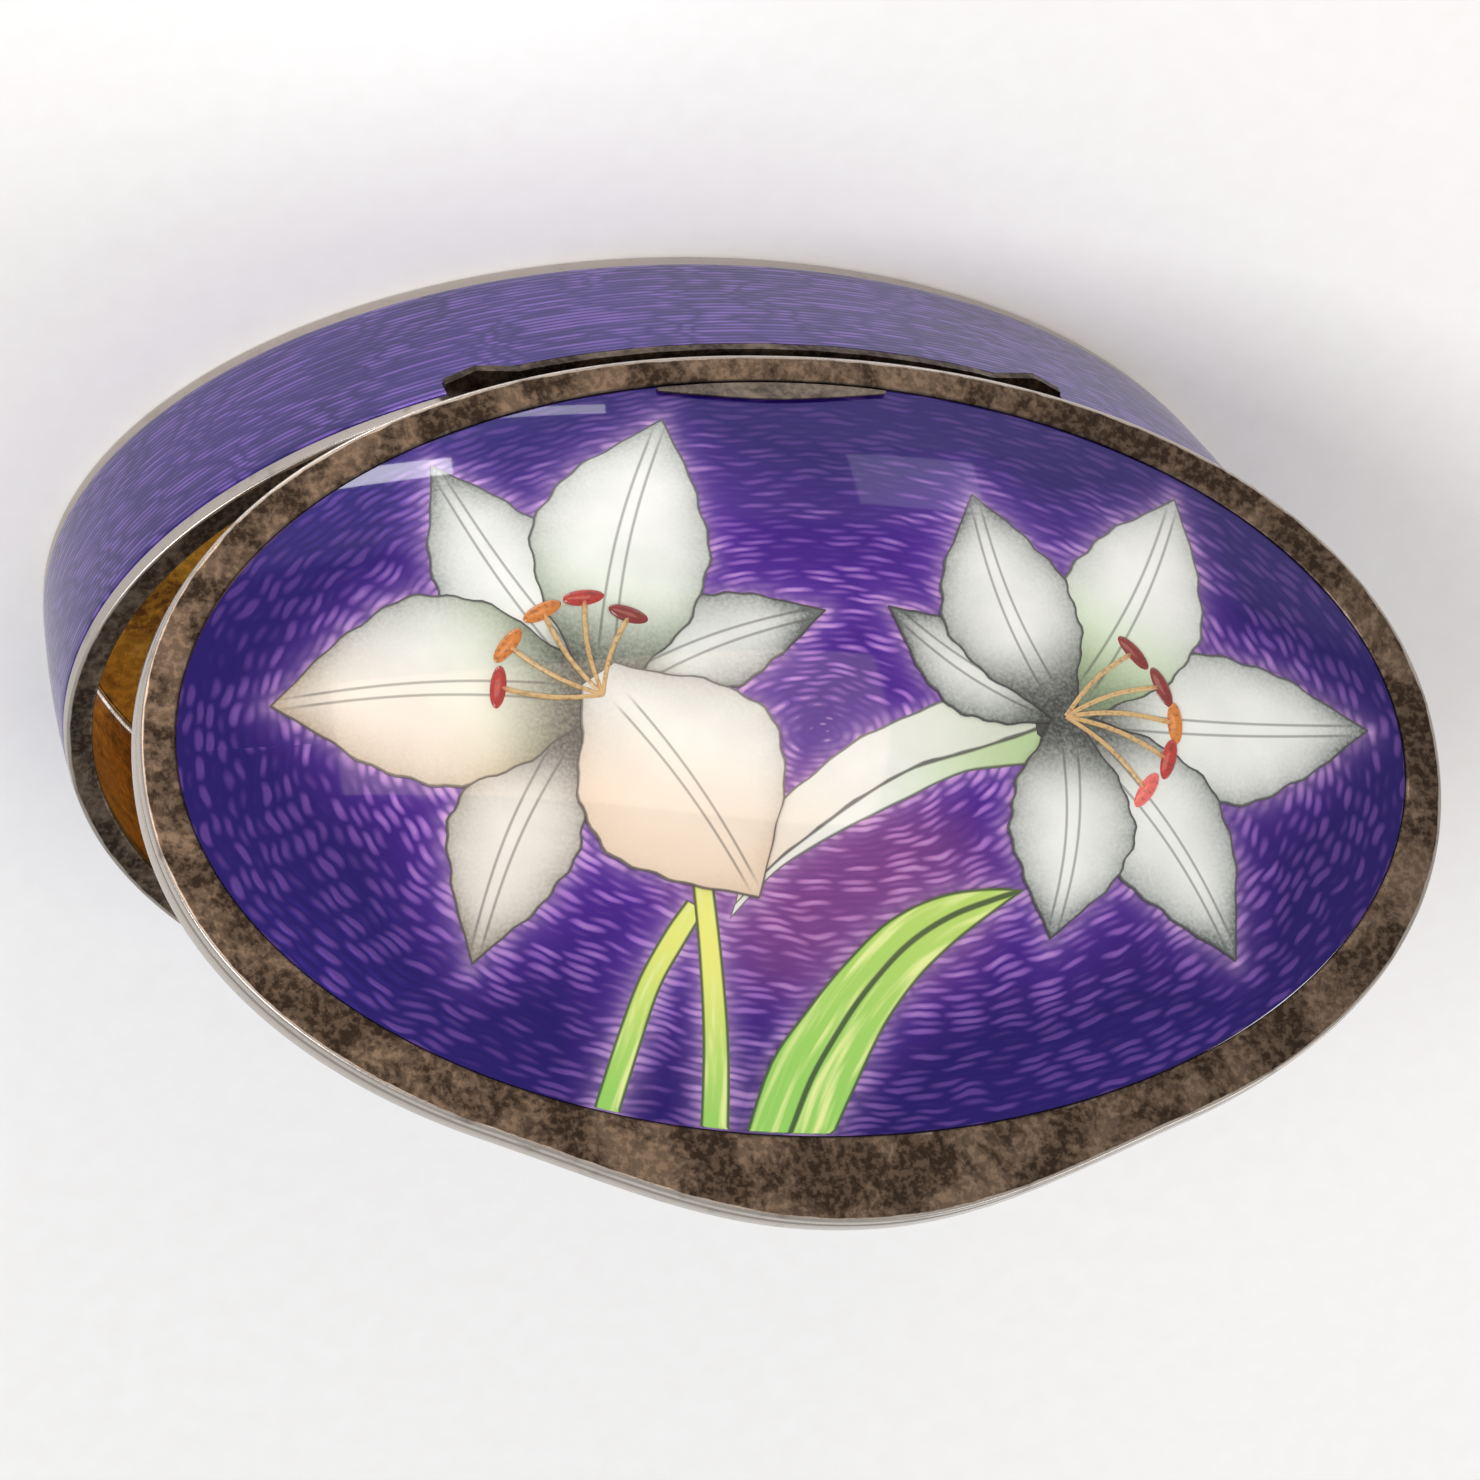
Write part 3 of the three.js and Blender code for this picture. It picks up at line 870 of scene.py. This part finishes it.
LEFT_THROAT, RIGHT_THROAT = (-8.3, 1.4), (9.4, 0.7)
THROATS = (
    petal("left_lily_throat", (-5.6, 1.9), (-11.2, 1.6), 2.4, 0.0, (0.0, 0.0, 9.0)),
    petal("right_lily_throat", (8.2, 0.5), (12.6, 0.7), 2.3, 0.0, (0.0, 0.0, 9.0)),
)
LEFT_LILY = (
    petal("left_lily_petal_right", LEFT_THROAT, (0.5, 4.7), 1.9, 0.4, (0.0, 0.1, 0.95)),
    petal("left_lily_petal_upper", LEFT_THROAT, (-13.4, 10.9), 2.7, 0.5, (0.0, 0.12, 0.8)),
    petal("left_lily_petal_lower", (-9.4, 0.4), (-13.5, -8.3), 2.4, -0.5, (0.2, 0.0, 0.85)),
    petal("left_lily_petal_left", LEFT_THROAT, (-20.3, 1.5), 3.7, -0.4, (0.4, 0.4, 0.8)),
    petal("left_lily_petal_top", LEFT_THROAT, (-4.5, 12.7), 3.3, 0.6, (0.0, 0.35, 0.6)),
)
RIGHT_TUBE = (
    Stroke("right_lily_tube_upper",
           ((9.2, 0.5), (7.4, -0.1), (5.2, -0.8), (3.2, -1.4), (1.2, -2.5), (-0.6, -3.7),
            (-2.2, -4.9), (-3.8, -6.4)),
           ((8.8, 2.5), (7.0, 2.0), (4.9, 1.3), (2.8, 0.5), (1.0, -0.4), (-0.8, -1.7),
            (-2.2, -2.9), (-3.2, -4.2)), (0.5, 0.25, 0.12), blunt=True),
    Stroke("right_lily_tube_lower",
           ((9.6, -1.0), (7.5, -1.2), (5.3, -1.5), (3.2, -2.4), (1.3, -3.3), (-0.5, -4.2),
            (-2.3, -5.3), (-4.0, -6.9)),
           ((9.2, 0.55), (7.4, -0.05), (5.2, -0.75), (3.2, -1.35), (1.2, -2.45), (-0.6, -3.65),
            (-2.2, -4.85), (-3.8, -6.35)), (0.15, 0.9, 0.12), blunt=True),
)
RIGHT_LILY = (
    petal("right_lily_petal_left", RIGHT_THROAT, (2.9, 4.9), 1.7, 0.5, (0.0, 0.1, 0.95)),
    petal("right_lily_petal_right", RIGHT_THROAT, (22.1, 0.9), 2.9, -0.3, (0.0, 0.1, 0.75)),
    petal("right_lily_petal_lower", RIGHT_THROAT, (15.9, -8.1), 2.6, 0.5, (0.0, 0.05, 0.85)),
    petal("right_lily_petal_upper", RIGHT_THROAT, (15.3, 9.9), 2.8, -0.4, (0.0, 0.8, 0.5)),
    petal("right_lily_petal_front", RIGHT_THROAT, (8.3, -7.6), 2.5, 0.5, (0.0, 0.05, 0.8)),
    petal("right_lily_petal_top", RIGHT_THROAT, (6.9, 9.6), 2.7, 0.6, (0.0, 0.05, 0.8)),
)
STEMS = (
    Stroke("stem_curved",
           ((-9.0, -13.5), (-8.25, -11.1), (-7.45, -9.0), (-6.45, -7.3), (-5.6, -6.2)),
           ((-8.05, -13.8), (-7.3, -11.3), (-6.6, -9.3), (-5.7, -7.8), (-4.9, -6.6)),
           (0.9, 0.0, 0.0), blunt=True, kind="leaf_paint"),
    Stroke("stem_straight",
           ((-4.95, -14.6), (-5.0, -11.5), (-5.15, -8.8), (-5.4, -5.4)),
           ((-3.85, -14.7), (-4.0, -11.5), (-4.25, -8.8), (-4.6, -5.4)),
           (1.0, 0.0, 0.0), blunt=True, kind="leaf_paint"),
)
FRONT = (
    petal("left_lily_petal_front", (-8.4, 2.2), (-2.9, -6.2), 4.1, 0.3, (0.6, 0.0, 0.5), 0.15),
    Stroke("leaf",
           ((-3.3, -14.5), (-2.5, -12.0), (-1.2, -10.2), (0.3, -8.5), (2.0, -7.0),
            (4.0, -6.1), (6.0, -5.8), (7.3, -5.85)),
           ((-0.1, -14.8), (0.8, -12.8), (1.8, -10.8), (3.0, -9.2), (4.4, -7.9), (5.9, -6.8),
            (7.3, -5.85)), (0.35, 0.0, 0.9), kind="leaf_paint"),
)
HINGE_SIDE = (
    Stroke("hinge_side_bare_metal",
           ((-4.6, 14.6), (-2.2, 14.6), (0.0, 14.6), (2.2, 14.6), (4.6, 14.6)),
           ((-4.4, 13.95), (-2.2, 13.72), (0.0, 13.6), (2.2, 13.72), (4.4, 13.95)),
           (0.0, 0.0, 0.0), kind="bared_edge"),
)

# Where the filaments start, then each anther's place, its turn in degrees and its paint.
RED, DARK_RED = srgb(176, 44, 36), srgb(128, 32, 28)
ORANGE, PINK = srgb(206, 122, 40), srgb(226, 104, 96)
FILAMENT_PAINT = srgb(204, 168, 112)
LEFT_STAMENS = (LEFT_THROAT, (
    ((-8.6, 5.2), 5, RED), ((-7.0, 4.5), -20, DARK_RED), ((-10.2, 4.7), 25, ORANGE),
    ((-11.6, 3.4), 50, ORANGE), ((-12.1, 1.8), 80, RED)))
RIGHT_STAMENS = (RIGHT_THROAT, (
    ((12.4, 3.3), -50, DARK_RED), ((13.4, 2.0), -68, DARK_RED), ((13.8, 0.6), 88, ORANGE),
    ((13.4, -0.8), 70, RED), ((12.4, -2.0), 52, PINK)))
RIPPLE = 0.12  # millimetres that the edge of a petal waves to each side
FAST_WAVE, SLOW_WAVE, WAVE_LEAN = 41, 17, 2.1  # radians from base to tip, and across
LAYER = 0.007 * MM  # each stroke stands this much above the one before
SINK = 0.04 * MM  # how far a stroke goes down into the glass
FILAMENT_PIECES, FILAMENT_BEND = 8, 0.06
FILAMENT_RADIUS, ANTHER_SIZE = 0.1 * MM, (1.65 * MM, 0.62 * MM, 0.24 * MM)
SHARP_EDGE = math.radians(40)


def through(values, share):
    """A smooth value at a share of the way along evenly spaced values."""
    place = share * (len(values) - 1)
    index = min(int(place), len(values) - 2)
    part = place - index
    before, start = values[max(index - 1, 0)], values[index]
    end, after = values[index + 1], values[min(index + 2, len(values) - 1)]
    return 0.5 * (2 * start + (end - before) * part
                  + (2 * before - 5 * start + 4 * end - after) * part ** 2
                  + (3 * start - before - 3 * end + after) * part ** 3)


def stroke_point(stroke, along, across):
    """Panel place in millimetres, distance from the edge and from the middle line."""
    left = [Vector(point) for point in stroke.left]
    right = [Vector(point) for point in stroke.right]

    def middle(share):
        return (through(left, share) + through(right, share)) * 0.5

    width = through(left, along) - through(right, along)
    half = width.length / 2
    point = middle(along) + width * (0.5 * across)
    if stroke.kind == "petal_paint":
        wave = (math.sin(FAST_WAVE * along + WAVE_LEAN * across)
                * math.sin(SLOW_WAVE * along + across))
        point += width.normalized() * (RIPPLE * min(1.0, half / 2) * wave * across ** 3)
    edge = half * (1 - abs(across))
    if stroke.blunt:
        whole = (middle(1.0) - middle(0.5)).length + (middle(0.5) - middle(0.0)).length
        edge = min(edge, (1 - along) * whole)
    return point, edge, across * half


def on_panel(point):
    """Keeps a place inside the panel's oval."""
    radius = math.hypot(point.x * MM / PANEL_HALF_LENGTH, point.y * MM / PANEL_HALF_WIDTH)
    return point * min(1.0, 0.996 / max(radius, 1e-6))


def paint_slab(stroke, layer, rows=44, columns=22):
    """A thin closed slab that follows the dome, with what its paint needs to know."""
    sizes = bpy.context.scene.pill_box_sizes
    lift = LAYER * (layer + 1)
    mesh = bmesh.new()
    layers = {name: mesh.verts.layers.float.new(name) for name in ("edge", "along", "rib")}
    tone = mesh.verts.layers.float_color.new("tone")
    spot = mesh.verts.layers.float_vector.new("spot")
    sheets = {"top": {}, "below": {}}
    for row in range(rows + 1):
        along = 1 - (1 - row / rows) ** 1.3
        for column in range(columns + 1):
            across = -math.cos(math.pi * column / columns)
            point, edge, rib = stroke_point(stroke, along, across)
            point = on_panel(point)
            x, y = point.x * MM, point.y * MM
            height = dome_height(sizes, x, y)
            for sheet, offset in (("top", lift), ("below", -SINK)):
                vertex = mesh.verts.new((x, y + PANEL_Y, height + offset))
                vertex[layers["edge"]] = edge
                vertex[layers["along"]] = along
                vertex[layers["rib"]] = rib
                vertex[tone] = (*stroke.tone, stroke.throat)
                vertex[spot] = (point.x, point.y, 0.0)
                sheets[sheet][row, column] = vertex
    for row in range(rows):
        for column in range(columns):
            around = ((row, column), (row + 1, column), (row + 1, column + 1), (row, column + 1))
            mesh.faces.new([sheets["top"][key] for key in around])
            mesh.faces.new([sheets["below"][key] for key in reversed(around)])
    ring = ([(row, 0) for row in range(rows)] + [(rows, column) for column in range(columns)]
            + [(row, columns) for row in range(rows, 0, -1)]
            + [(0, column) for column in range(columns, 0, -1)])
    for here, after in zip(ring, ring[1:] + ring[:1]):
        mesh.faces.new([sheets["top"][here], sheets["below"][here], sheets["below"][after],
                        sheets["top"][after]])
    bmesh.ops.remove_doubles(mesh, verts=mesh.verts, dist=1e-8)
    bmesh.ops.dissolve_degenerate(mesh, edges=mesh.edges, dist=1e-8)
    bmesh.ops.recalc_face_normals(mesh, faces=mesh.faces)
    for edge in mesh.edges:
        edge.smooth = len(edge.link_faces) == 2 and edge.calc_face_angle() < SHARP_EDGE
    for face in mesh.faces:
        face.smooth = True
    data = bpy.data.meshes.new(stroke.name)
    mesh.to_mesh(data)
    mesh.free()
    data.materials.append(bpy.data.materials[stroke.kind])
    return settle(new_object(stroke.name, data), "lid", "lid_enamel")


def stamens(name, throat, anthers, layer):
    """Filaments and anthers of one flower, lying on its petals."""
    sizes = bpy.context.scene.pill_box_sizes
    points, links, marks, turns, paints = [], [], [], [], []
    lift = LAYER * (layer + 1) - SINK
    for place, degrees, paint in anthers:
        start, end = Vector(throat), Vector(place)
        bend = (end - start).orthogonal() * FILAMENT_BEND
        for step in range(FILAMENT_PIECES + 1):
            share = step / FILAMENT_PIECES
            spot = start.lerp(end, share) + bend * math.sin(math.pi * share)
            height = dome_height(sizes, spot.x * MM, spot.y * MM) + lift
            points.append((spot.x * MM, spot.y * MM + PANEL_Y, height))
            last = step == FILAMENT_PIECES
            marks.append(float(last))
            turns += (0.0, 0.0, math.radians(degrees))
            paints += paint if last else FILAMENT_PAINT
            if step:
                links.append((len(points) - 2, len(points) - 1))
    mesh = bpy.data.meshes.new("stamen_lines")
    mesh.from_pydata(points, links, [])
    for key, kind, entry, values in (("anther", "FLOAT", "value", marks),
                                     ("turn", "FLOAT_VECTOR", "vector", turns),
                                     ("paint", "FLOAT_COLOR", "color", paints)):
        mesh.attributes.new(key, kind, "POINT").data.foreach_set(entry, values)
    piece = grown(name, mesh, "stamens", {
        "Filament Radius": FILAMENT_RADIUS, "Anther Size": ANTHER_SIZE,
        "Material": bpy.data.materials["stamen_paint"]})
    return settle(piece, "lid", "lid_enamel")


def flower_points():
    """Places in millimetres all over the painted strokes."""
    rows, columns = 24, 12
    return [stroke_point(stroke, row / rows, 2 * column / columns - 1)[0]
            for stroke in STEMS + RIGHT_TUBE + THROATS + LEFT_LILY + RIGHT_LILY + FRONT
            for row in range(rows + 1) for column in range(columns + 1)]


def mark_flower_gap(mesh):
    """Stores on the closed enamel how far each point lies from the nearest stroke."""
    points = flower_points()
    tree = kdtree.KDTree(len(points))
    for index, point in enumerate(points):
        tree.insert((point.x, point.y, 0), index)
    tree.balance()
    gaps = []
    for vertex in mesh.vertices:
        place = (vertex.co.x / MM, (vertex.co.y - PANEL_Y) / MM, 0)
        gaps.append(tree.find(place)[2])
    mesh.attributes.new("flower_gap", "FLOAT", "POINT").data.foreach_set("value", gaps)


HINGE_FINISHES = {
    "tarnished_silver": ("hinge_bearer", "lid_hinge_leaf"),
    "worn_silver": ("body_knuckle_left", "body_knuckle_centre", "body_knuckle_right",
                    "lid_knuckle_left", "lid_knuckle_right", "hinge_pin")}


# ---- Operators: one for each piece or group of like pieces ----
class PILLBOX_OT_finishes(bpy.types.Operator):
    """Makes the shader groups, the materials and the node trees."""

    bl_idname = "pill_box.finishes"
    bl_label = "Finishes"

    def execute(self, context):
        make_materials()
        oval_ring_tree()
        stamens_tree()
        return {"FINISHED"}


class PILLBOX_OT_foot(bpy.types.Operator):
    """Makes the silver foot rim and the floor of the box."""

    bl_idname = "pill_box.foot"
    bl_label = "Foot and Floor"

    def execute(self, context):
        sizes = context.scene.pill_box_sizes
        inset = sizes.foot_inset
        section = bar_section(FOOT_LOW.z, FOOT_HIGH.z, FOOT_ROUND, inset, inset + sizes.foot_width)
        rim = oval_ring("foot_rim", section, "worn_silver", {})
        settle(rim, "box", "silver", "base_rim")
        depth = inset + sizes.foot_width + SEAM
        top, low = FLOOR_HIGH.z, FLOOR_LOW.z
        outline = {"Outer Half Length": BODY_HALF_LENGTH - depth,
                   "Outer Half Width": BODY_HALF_WIDTH - depth}
        middle = top - sizes.gilt_thickness
        for name, finish, slot, under, over, stands_for in (
                ("floor_plate", "worn_silver", "silver", low, middle, ("base_plate",)),
                ("floor_lining", "gilt_wash", "gilt_lining", middle, top, ())):
            section = [(0.0, 1.0, over, 0.0), (0.0, 0.5, over, 0.0), (0.0, 0.0, over, 0.3),
                       (0.0, 0.0, under, 0.5), (0.0, 0.5, under, 0.0), (0.0, 1.0, under, 0.0)]
            plate = oval_ring(name, section, finish, outline, closed=False)
            settle(plate, "box", slot, *stands_for)
        return {"FINISHED"}


class PILLBOX_OT_wall(bpy.types.Operator):
    """Makes the gilt wall, its enamel and the silver rim of the mouth."""

    bl_idname = "pill_box.wall"
    bl_label = "Wall and Mouth Rim"

    def execute(self, context):
        sizes = context.scene.pill_box_sizes
        low, high = WALL_LOW.z, WALL_HIGH.z
        behind = sizes.wall_enamel + SEAM
        section = wall_section(sizes, behind, behind + sizes.wall_silver, low, high, 0.0)
        wall = oval_ring("gilt_wall", section, "gilt_wash", recess_cut())
        settle(wall, "box", "gilt_lining", "body_wall")
        section = wall_section(sizes, 0.0, sizes.wall_enamel, low, high, WALL_ROUND)
        enamel = oval_ring("wall_glaze", section, "wall_glass", recess_cut())
        settle(enamel, "box", "wall_enamel", "wall_enamel")
        section = bar_section(MOUTH_LOW.z, MOUTH_HIGH.z, sizes.edge_round, 0.0, sizes.rim_width)
        rim = oval_ring("mouth_rim_silver", section, "tarnished_silver", recess_cut())
        settle(rim, "box", "patinated_silver", "mouth_rim")
        return {"FINISHED"}


class PILLBOX_OT_lid_frame(bpy.types.Operator):
    """Makes the silver frame of the lid and the band that seats on the mouth rim."""

    bl_idname = "pill_box.lid_frame"
    bl_label = "Lid Frame"

    def execute(self, context):
        sizes = context.scene.pill_box_sizes
        section = bar_section(FRAME_LOW.z, FRAME_HIGH.z, sizes.edge_round, inner_share=1.0)
        opening = {"Inner Half Length": PANEL_HALF_LENGTH + SEAM,
                   "Inner Half Width": PANEL_HALF_WIDTH + SEAM, "Inner Centre Y": PANEL_Y}
        ring = oval_ring("lid_bezel", section, "tarnished_silver",
                         {**lid_outline(sizes), **opening})
        settle(ring, "lid", "patinated_silver", "lid_frame")
        seat = sizes.seat_width
        section = bar_section(BAND_LOW.z, BAND_HIGH.z, BAND_ROUND, inner_share=1.0)
        band = oval_ring("lid_band", section, "worn_silver", {
            **lid_outline(sizes), "Inner Half Length": BODY_HALF_LENGTH - seat,
            "Inner Half Width": BODY_HALF_WIDTH - seat,
            **ring_cut(BEARER_HIGH.x + BAND_CUT_SPARE, 0.0)})
        settle(band, "lid", "silver", "lid_seat_band")
        return {"FINISHED"}


class PILLBOX_OT_lid_panel(bpy.types.Operator):
    """Makes the domed silver plate of the lid and the violet enamel on it."""

    bl_idname = "pill_box.lid_panel"
    bl_label = "Lid Panel"

    def execute(self, context):
        sizes = context.scene.pill_box_sizes
        low = PLATE_LOW.z
        rise = PLATE_HIGH.z - low - sizes.plate_thickness
        section = dome_section(low, rise, low + sizes.plate_thickness, rise, sizes.dome_power)
        plate = oval_ring("lid_dome_plate", section, "gilt_wash", panel_outline(), closed=False)
        settle(plate, "lid", "gilt_lining", "lid_plate")
        low = PANEL_LOW.z
        high = low + sizes.enamel_edge
        section = dome_section(low, rise, high, PANEL_HIGH.z - high, sizes.dome_power, steps=90)
        enamel = oval_ring("lid_glaze", section, "lid_glass", panel_outline(), closed=False)
        mark_flower_gap(enamel.data)
        settle(enamel, "lid", "lid_enamel", "lid_enamel")
        return {"FINISHED"}


class PILLBOX_OT_flowers(bpy.types.Operator):
    """Paints the two lilies, their stems and the leaf on the lid."""

    bl_idname = "pill_box.flowers"
    bl_label = "Painted Lilies"

    def execute(self, context):
        layer = 0
        for stroke in STEMS + RIGHT_TUBE + THROATS + LEFT_LILY + RIGHT_LILY:
            paint_slab(stroke, layer)
            layer += 1
        stamens("left_lily_stamens", *LEFT_STAMENS, layer)
        stamens("right_lily_stamens", *RIGHT_STAMENS, layer)
        for stroke in FRONT + HINGE_SIDE:
            layer += 1
            paint_slab(stroke, layer)
        return {"FINISHED"}


class PILLBOX_OT_hinge(bpy.types.Operator):
    """Gives the hinge its finishes."""

    bl_idname = "pill_box.hinge"
    bl_label = "Hinge"

    def execute(self, context):
        for finish, names in HINGE_FINISHES.items():
            for name in names:
                mesh = frame["nodes"][name].data
                mesh.materials.clear()
                mesh.materials.append(bpy.data.materials[finish])
        return {"FINISHED"}


class PILLBOX_OT_stage(bpy.types.Operator):
    """Sets up the floor, the studio light and the camera."""

    bl_idname = "pill_box.stage"
    bl_label = "Stage"

    def execute(self, context):
        make_floor()
        make_light()
        make_camera()
        return {"FINISHED"}


class PILLBOX_PT_panel(bpy.types.Panel):
    """Lists what builds the pill box."""

    bl_idname = "PILLBOX_PT_panel"
    bl_label = "Pill Box"
    bl_space_type = "VIEW_3D"
    bl_region_type = "UI"
    bl_category = "Pill Box"

    def draw(self, context):
        layout = self.layout
        for settings in (context.scene.pill_box_sizes, context.scene.pill_box_finishes):
            column = layout.column(align=True)
            for name in settings.__annotations__:
                column.prop(settings, name)
        for operator in BUILD_ORDER:
            layout.operator(operator.bl_idname)


# ---- Stage ----
def make_floor():
    half = 3.0
    mesh = bpy.data.meshes.new("studio_floor")
    mesh.from_pydata([(-half, -half, 0), (half, -half, 0), (half, half, 0), (-half, half, 0)],
                     [], [(0, 1, 2, 3)])
    floor = new_object("studio_floor", mesh)
    material, tree, shader = new_material("studio_floor")
    grain = noise(tree, object_place(tree), 900.0, 3.0)
    wire(tree, shader, {"Base Color": mixed(tree, grain, srgb(244, 243, 242), srgb(250, 250, 250)),
                        "Roughness": 0.75})
    mesh.materials.append(material)


WORLD_STRENGTH = 0.52
MIDDLE = (0, 0.005, 0.015)
# Name, place, what it faces, width and height, watts and colour.
LIGHTS = (
    ("key", (-0.28, 0.10, 0.42), MIDDLE, (0.22, 0.22), 1.15, (1, 1, 1)),
    ("fill", (0.34, -0.10, 0.30), MIDDLE, (0.30, 0.30), 0.5, (1, 1, 1)),
    ("warm_card", (0.018, 0.27, 0.152), MIDDLE, (0.17, 0.09), 0.13, (1.0, 0.74, 0.56)),
    ("low_strip", (-0.0205, 0.0435, 0.0035), (-0.013, 0.013, 0.013), (0.018, 0.0026), 0.0022,
     (1, 1, 1)),
    ("edge_strip", (-0.010, 0.0312, 0.0025), (-0.0073, 0.0139, 0.0109), (0.014, 0.001), 0.0003,
     (1, 1, 1)),
    ("low_card", (0.021, 0.05, 0.006), (0.0035, 0.0133, 0.0137), (0.009, 0.009), 0.0005,
     (0.9, 0.85, 1.0)),
)


def make_light():
    scene = bpy.context.scene
    scene.world = bpy.data.worlds.new("studio")
    scene.world.use_nodes = True
    wire(scene.world.node_tree, scene.world.node_tree.nodes["Background"], {
        "Color": (1, 1, 1, 1), "Strength": WORLD_STRENGTH})
    scene.view_settings.view_transform = "Standard"
    for name, place, target, size, watts, tint in LIGHTS:
        light = bpy.data.lights.new(name, "AREA")
        light.shape = "RECTANGLE"
        light.size, light.size_y = size
        light.energy, light.color = watts, tint
        lamp = new_object(name, light)
        lamp.location = place
        lamp.rotation_mode = "QUATERNION"
        lamp.rotation_quaternion = (Vector(target) - Vector(place)).to_track_quat("-Z", "Y")
        lamp.visible_camera = False


def make_camera():
    """The camera looks past the upright from the hinge side, and is rolled over."""
    azimuth, elevation, roll = (math.radians(a) for a in (210.03, 54.31, 155.1))
    target, distance = Vector((1.505, -1.284, 10.0)) * MM, 444.3 * MM
    back = Vector((math.sin(azimuth) * math.cos(elevation),
                   -math.cos(azimuth) * math.cos(elevation), math.sin(elevation)))
    data = bpy.data.cameras.new("camera")
    data.lens, data.sensor_width = 285.9, 36.0
    data.clip_start, data.clip_end = 0.01, 20.0
    camera = new_object("camera", data)
    camera.location = target + back * distance
    camera.rotation_mode = "QUATERNION"
    upright = (-back).to_track_quat("-Z", "Y")
    camera.rotation_quaternion = upright @ Quaternion((0, 0, 1), roll)
    bpy.context.scene.camera = camera


BUILD_ORDER = (
    PILLBOX_OT_finishes, PILLBOX_OT_stage, PILLBOX_OT_foot, PILLBOX_OT_wall,
    PILLBOX_OT_hinge, PILLBOX_OT_lid_frame, PILLBOX_OT_lid_panel, PILLBOX_OT_flowers,
)
CLASSES = (PillBoxSizes, PillBoxFinishes, *BUILD_ORDER, PILLBOX_PT_panel)


def register():
    for made in CLASSES:
        bpy.utils.register_class(made)
    bpy.types.Scene.pill_box_sizes = bpy.props.PointerProperty(type=PillBoxSizes)
    bpy.types.Scene.pill_box_finishes = bpy.props.PointerProperty(type=PillBoxFinishes)


def unregister():
    del bpy.types.Scene.pill_box_finishes
    del bpy.types.Scene.pill_box_sizes
    for made in reversed(CLASSES):
        bpy.utils.unregister_class(made)


def main():
    register()
    for operator in BUILD_ORDER:
        section, name = operator.bl_idname.split(".")
        getattr(getattr(bpy.ops, section), name)()


if __name__ == "__main__":
    main()
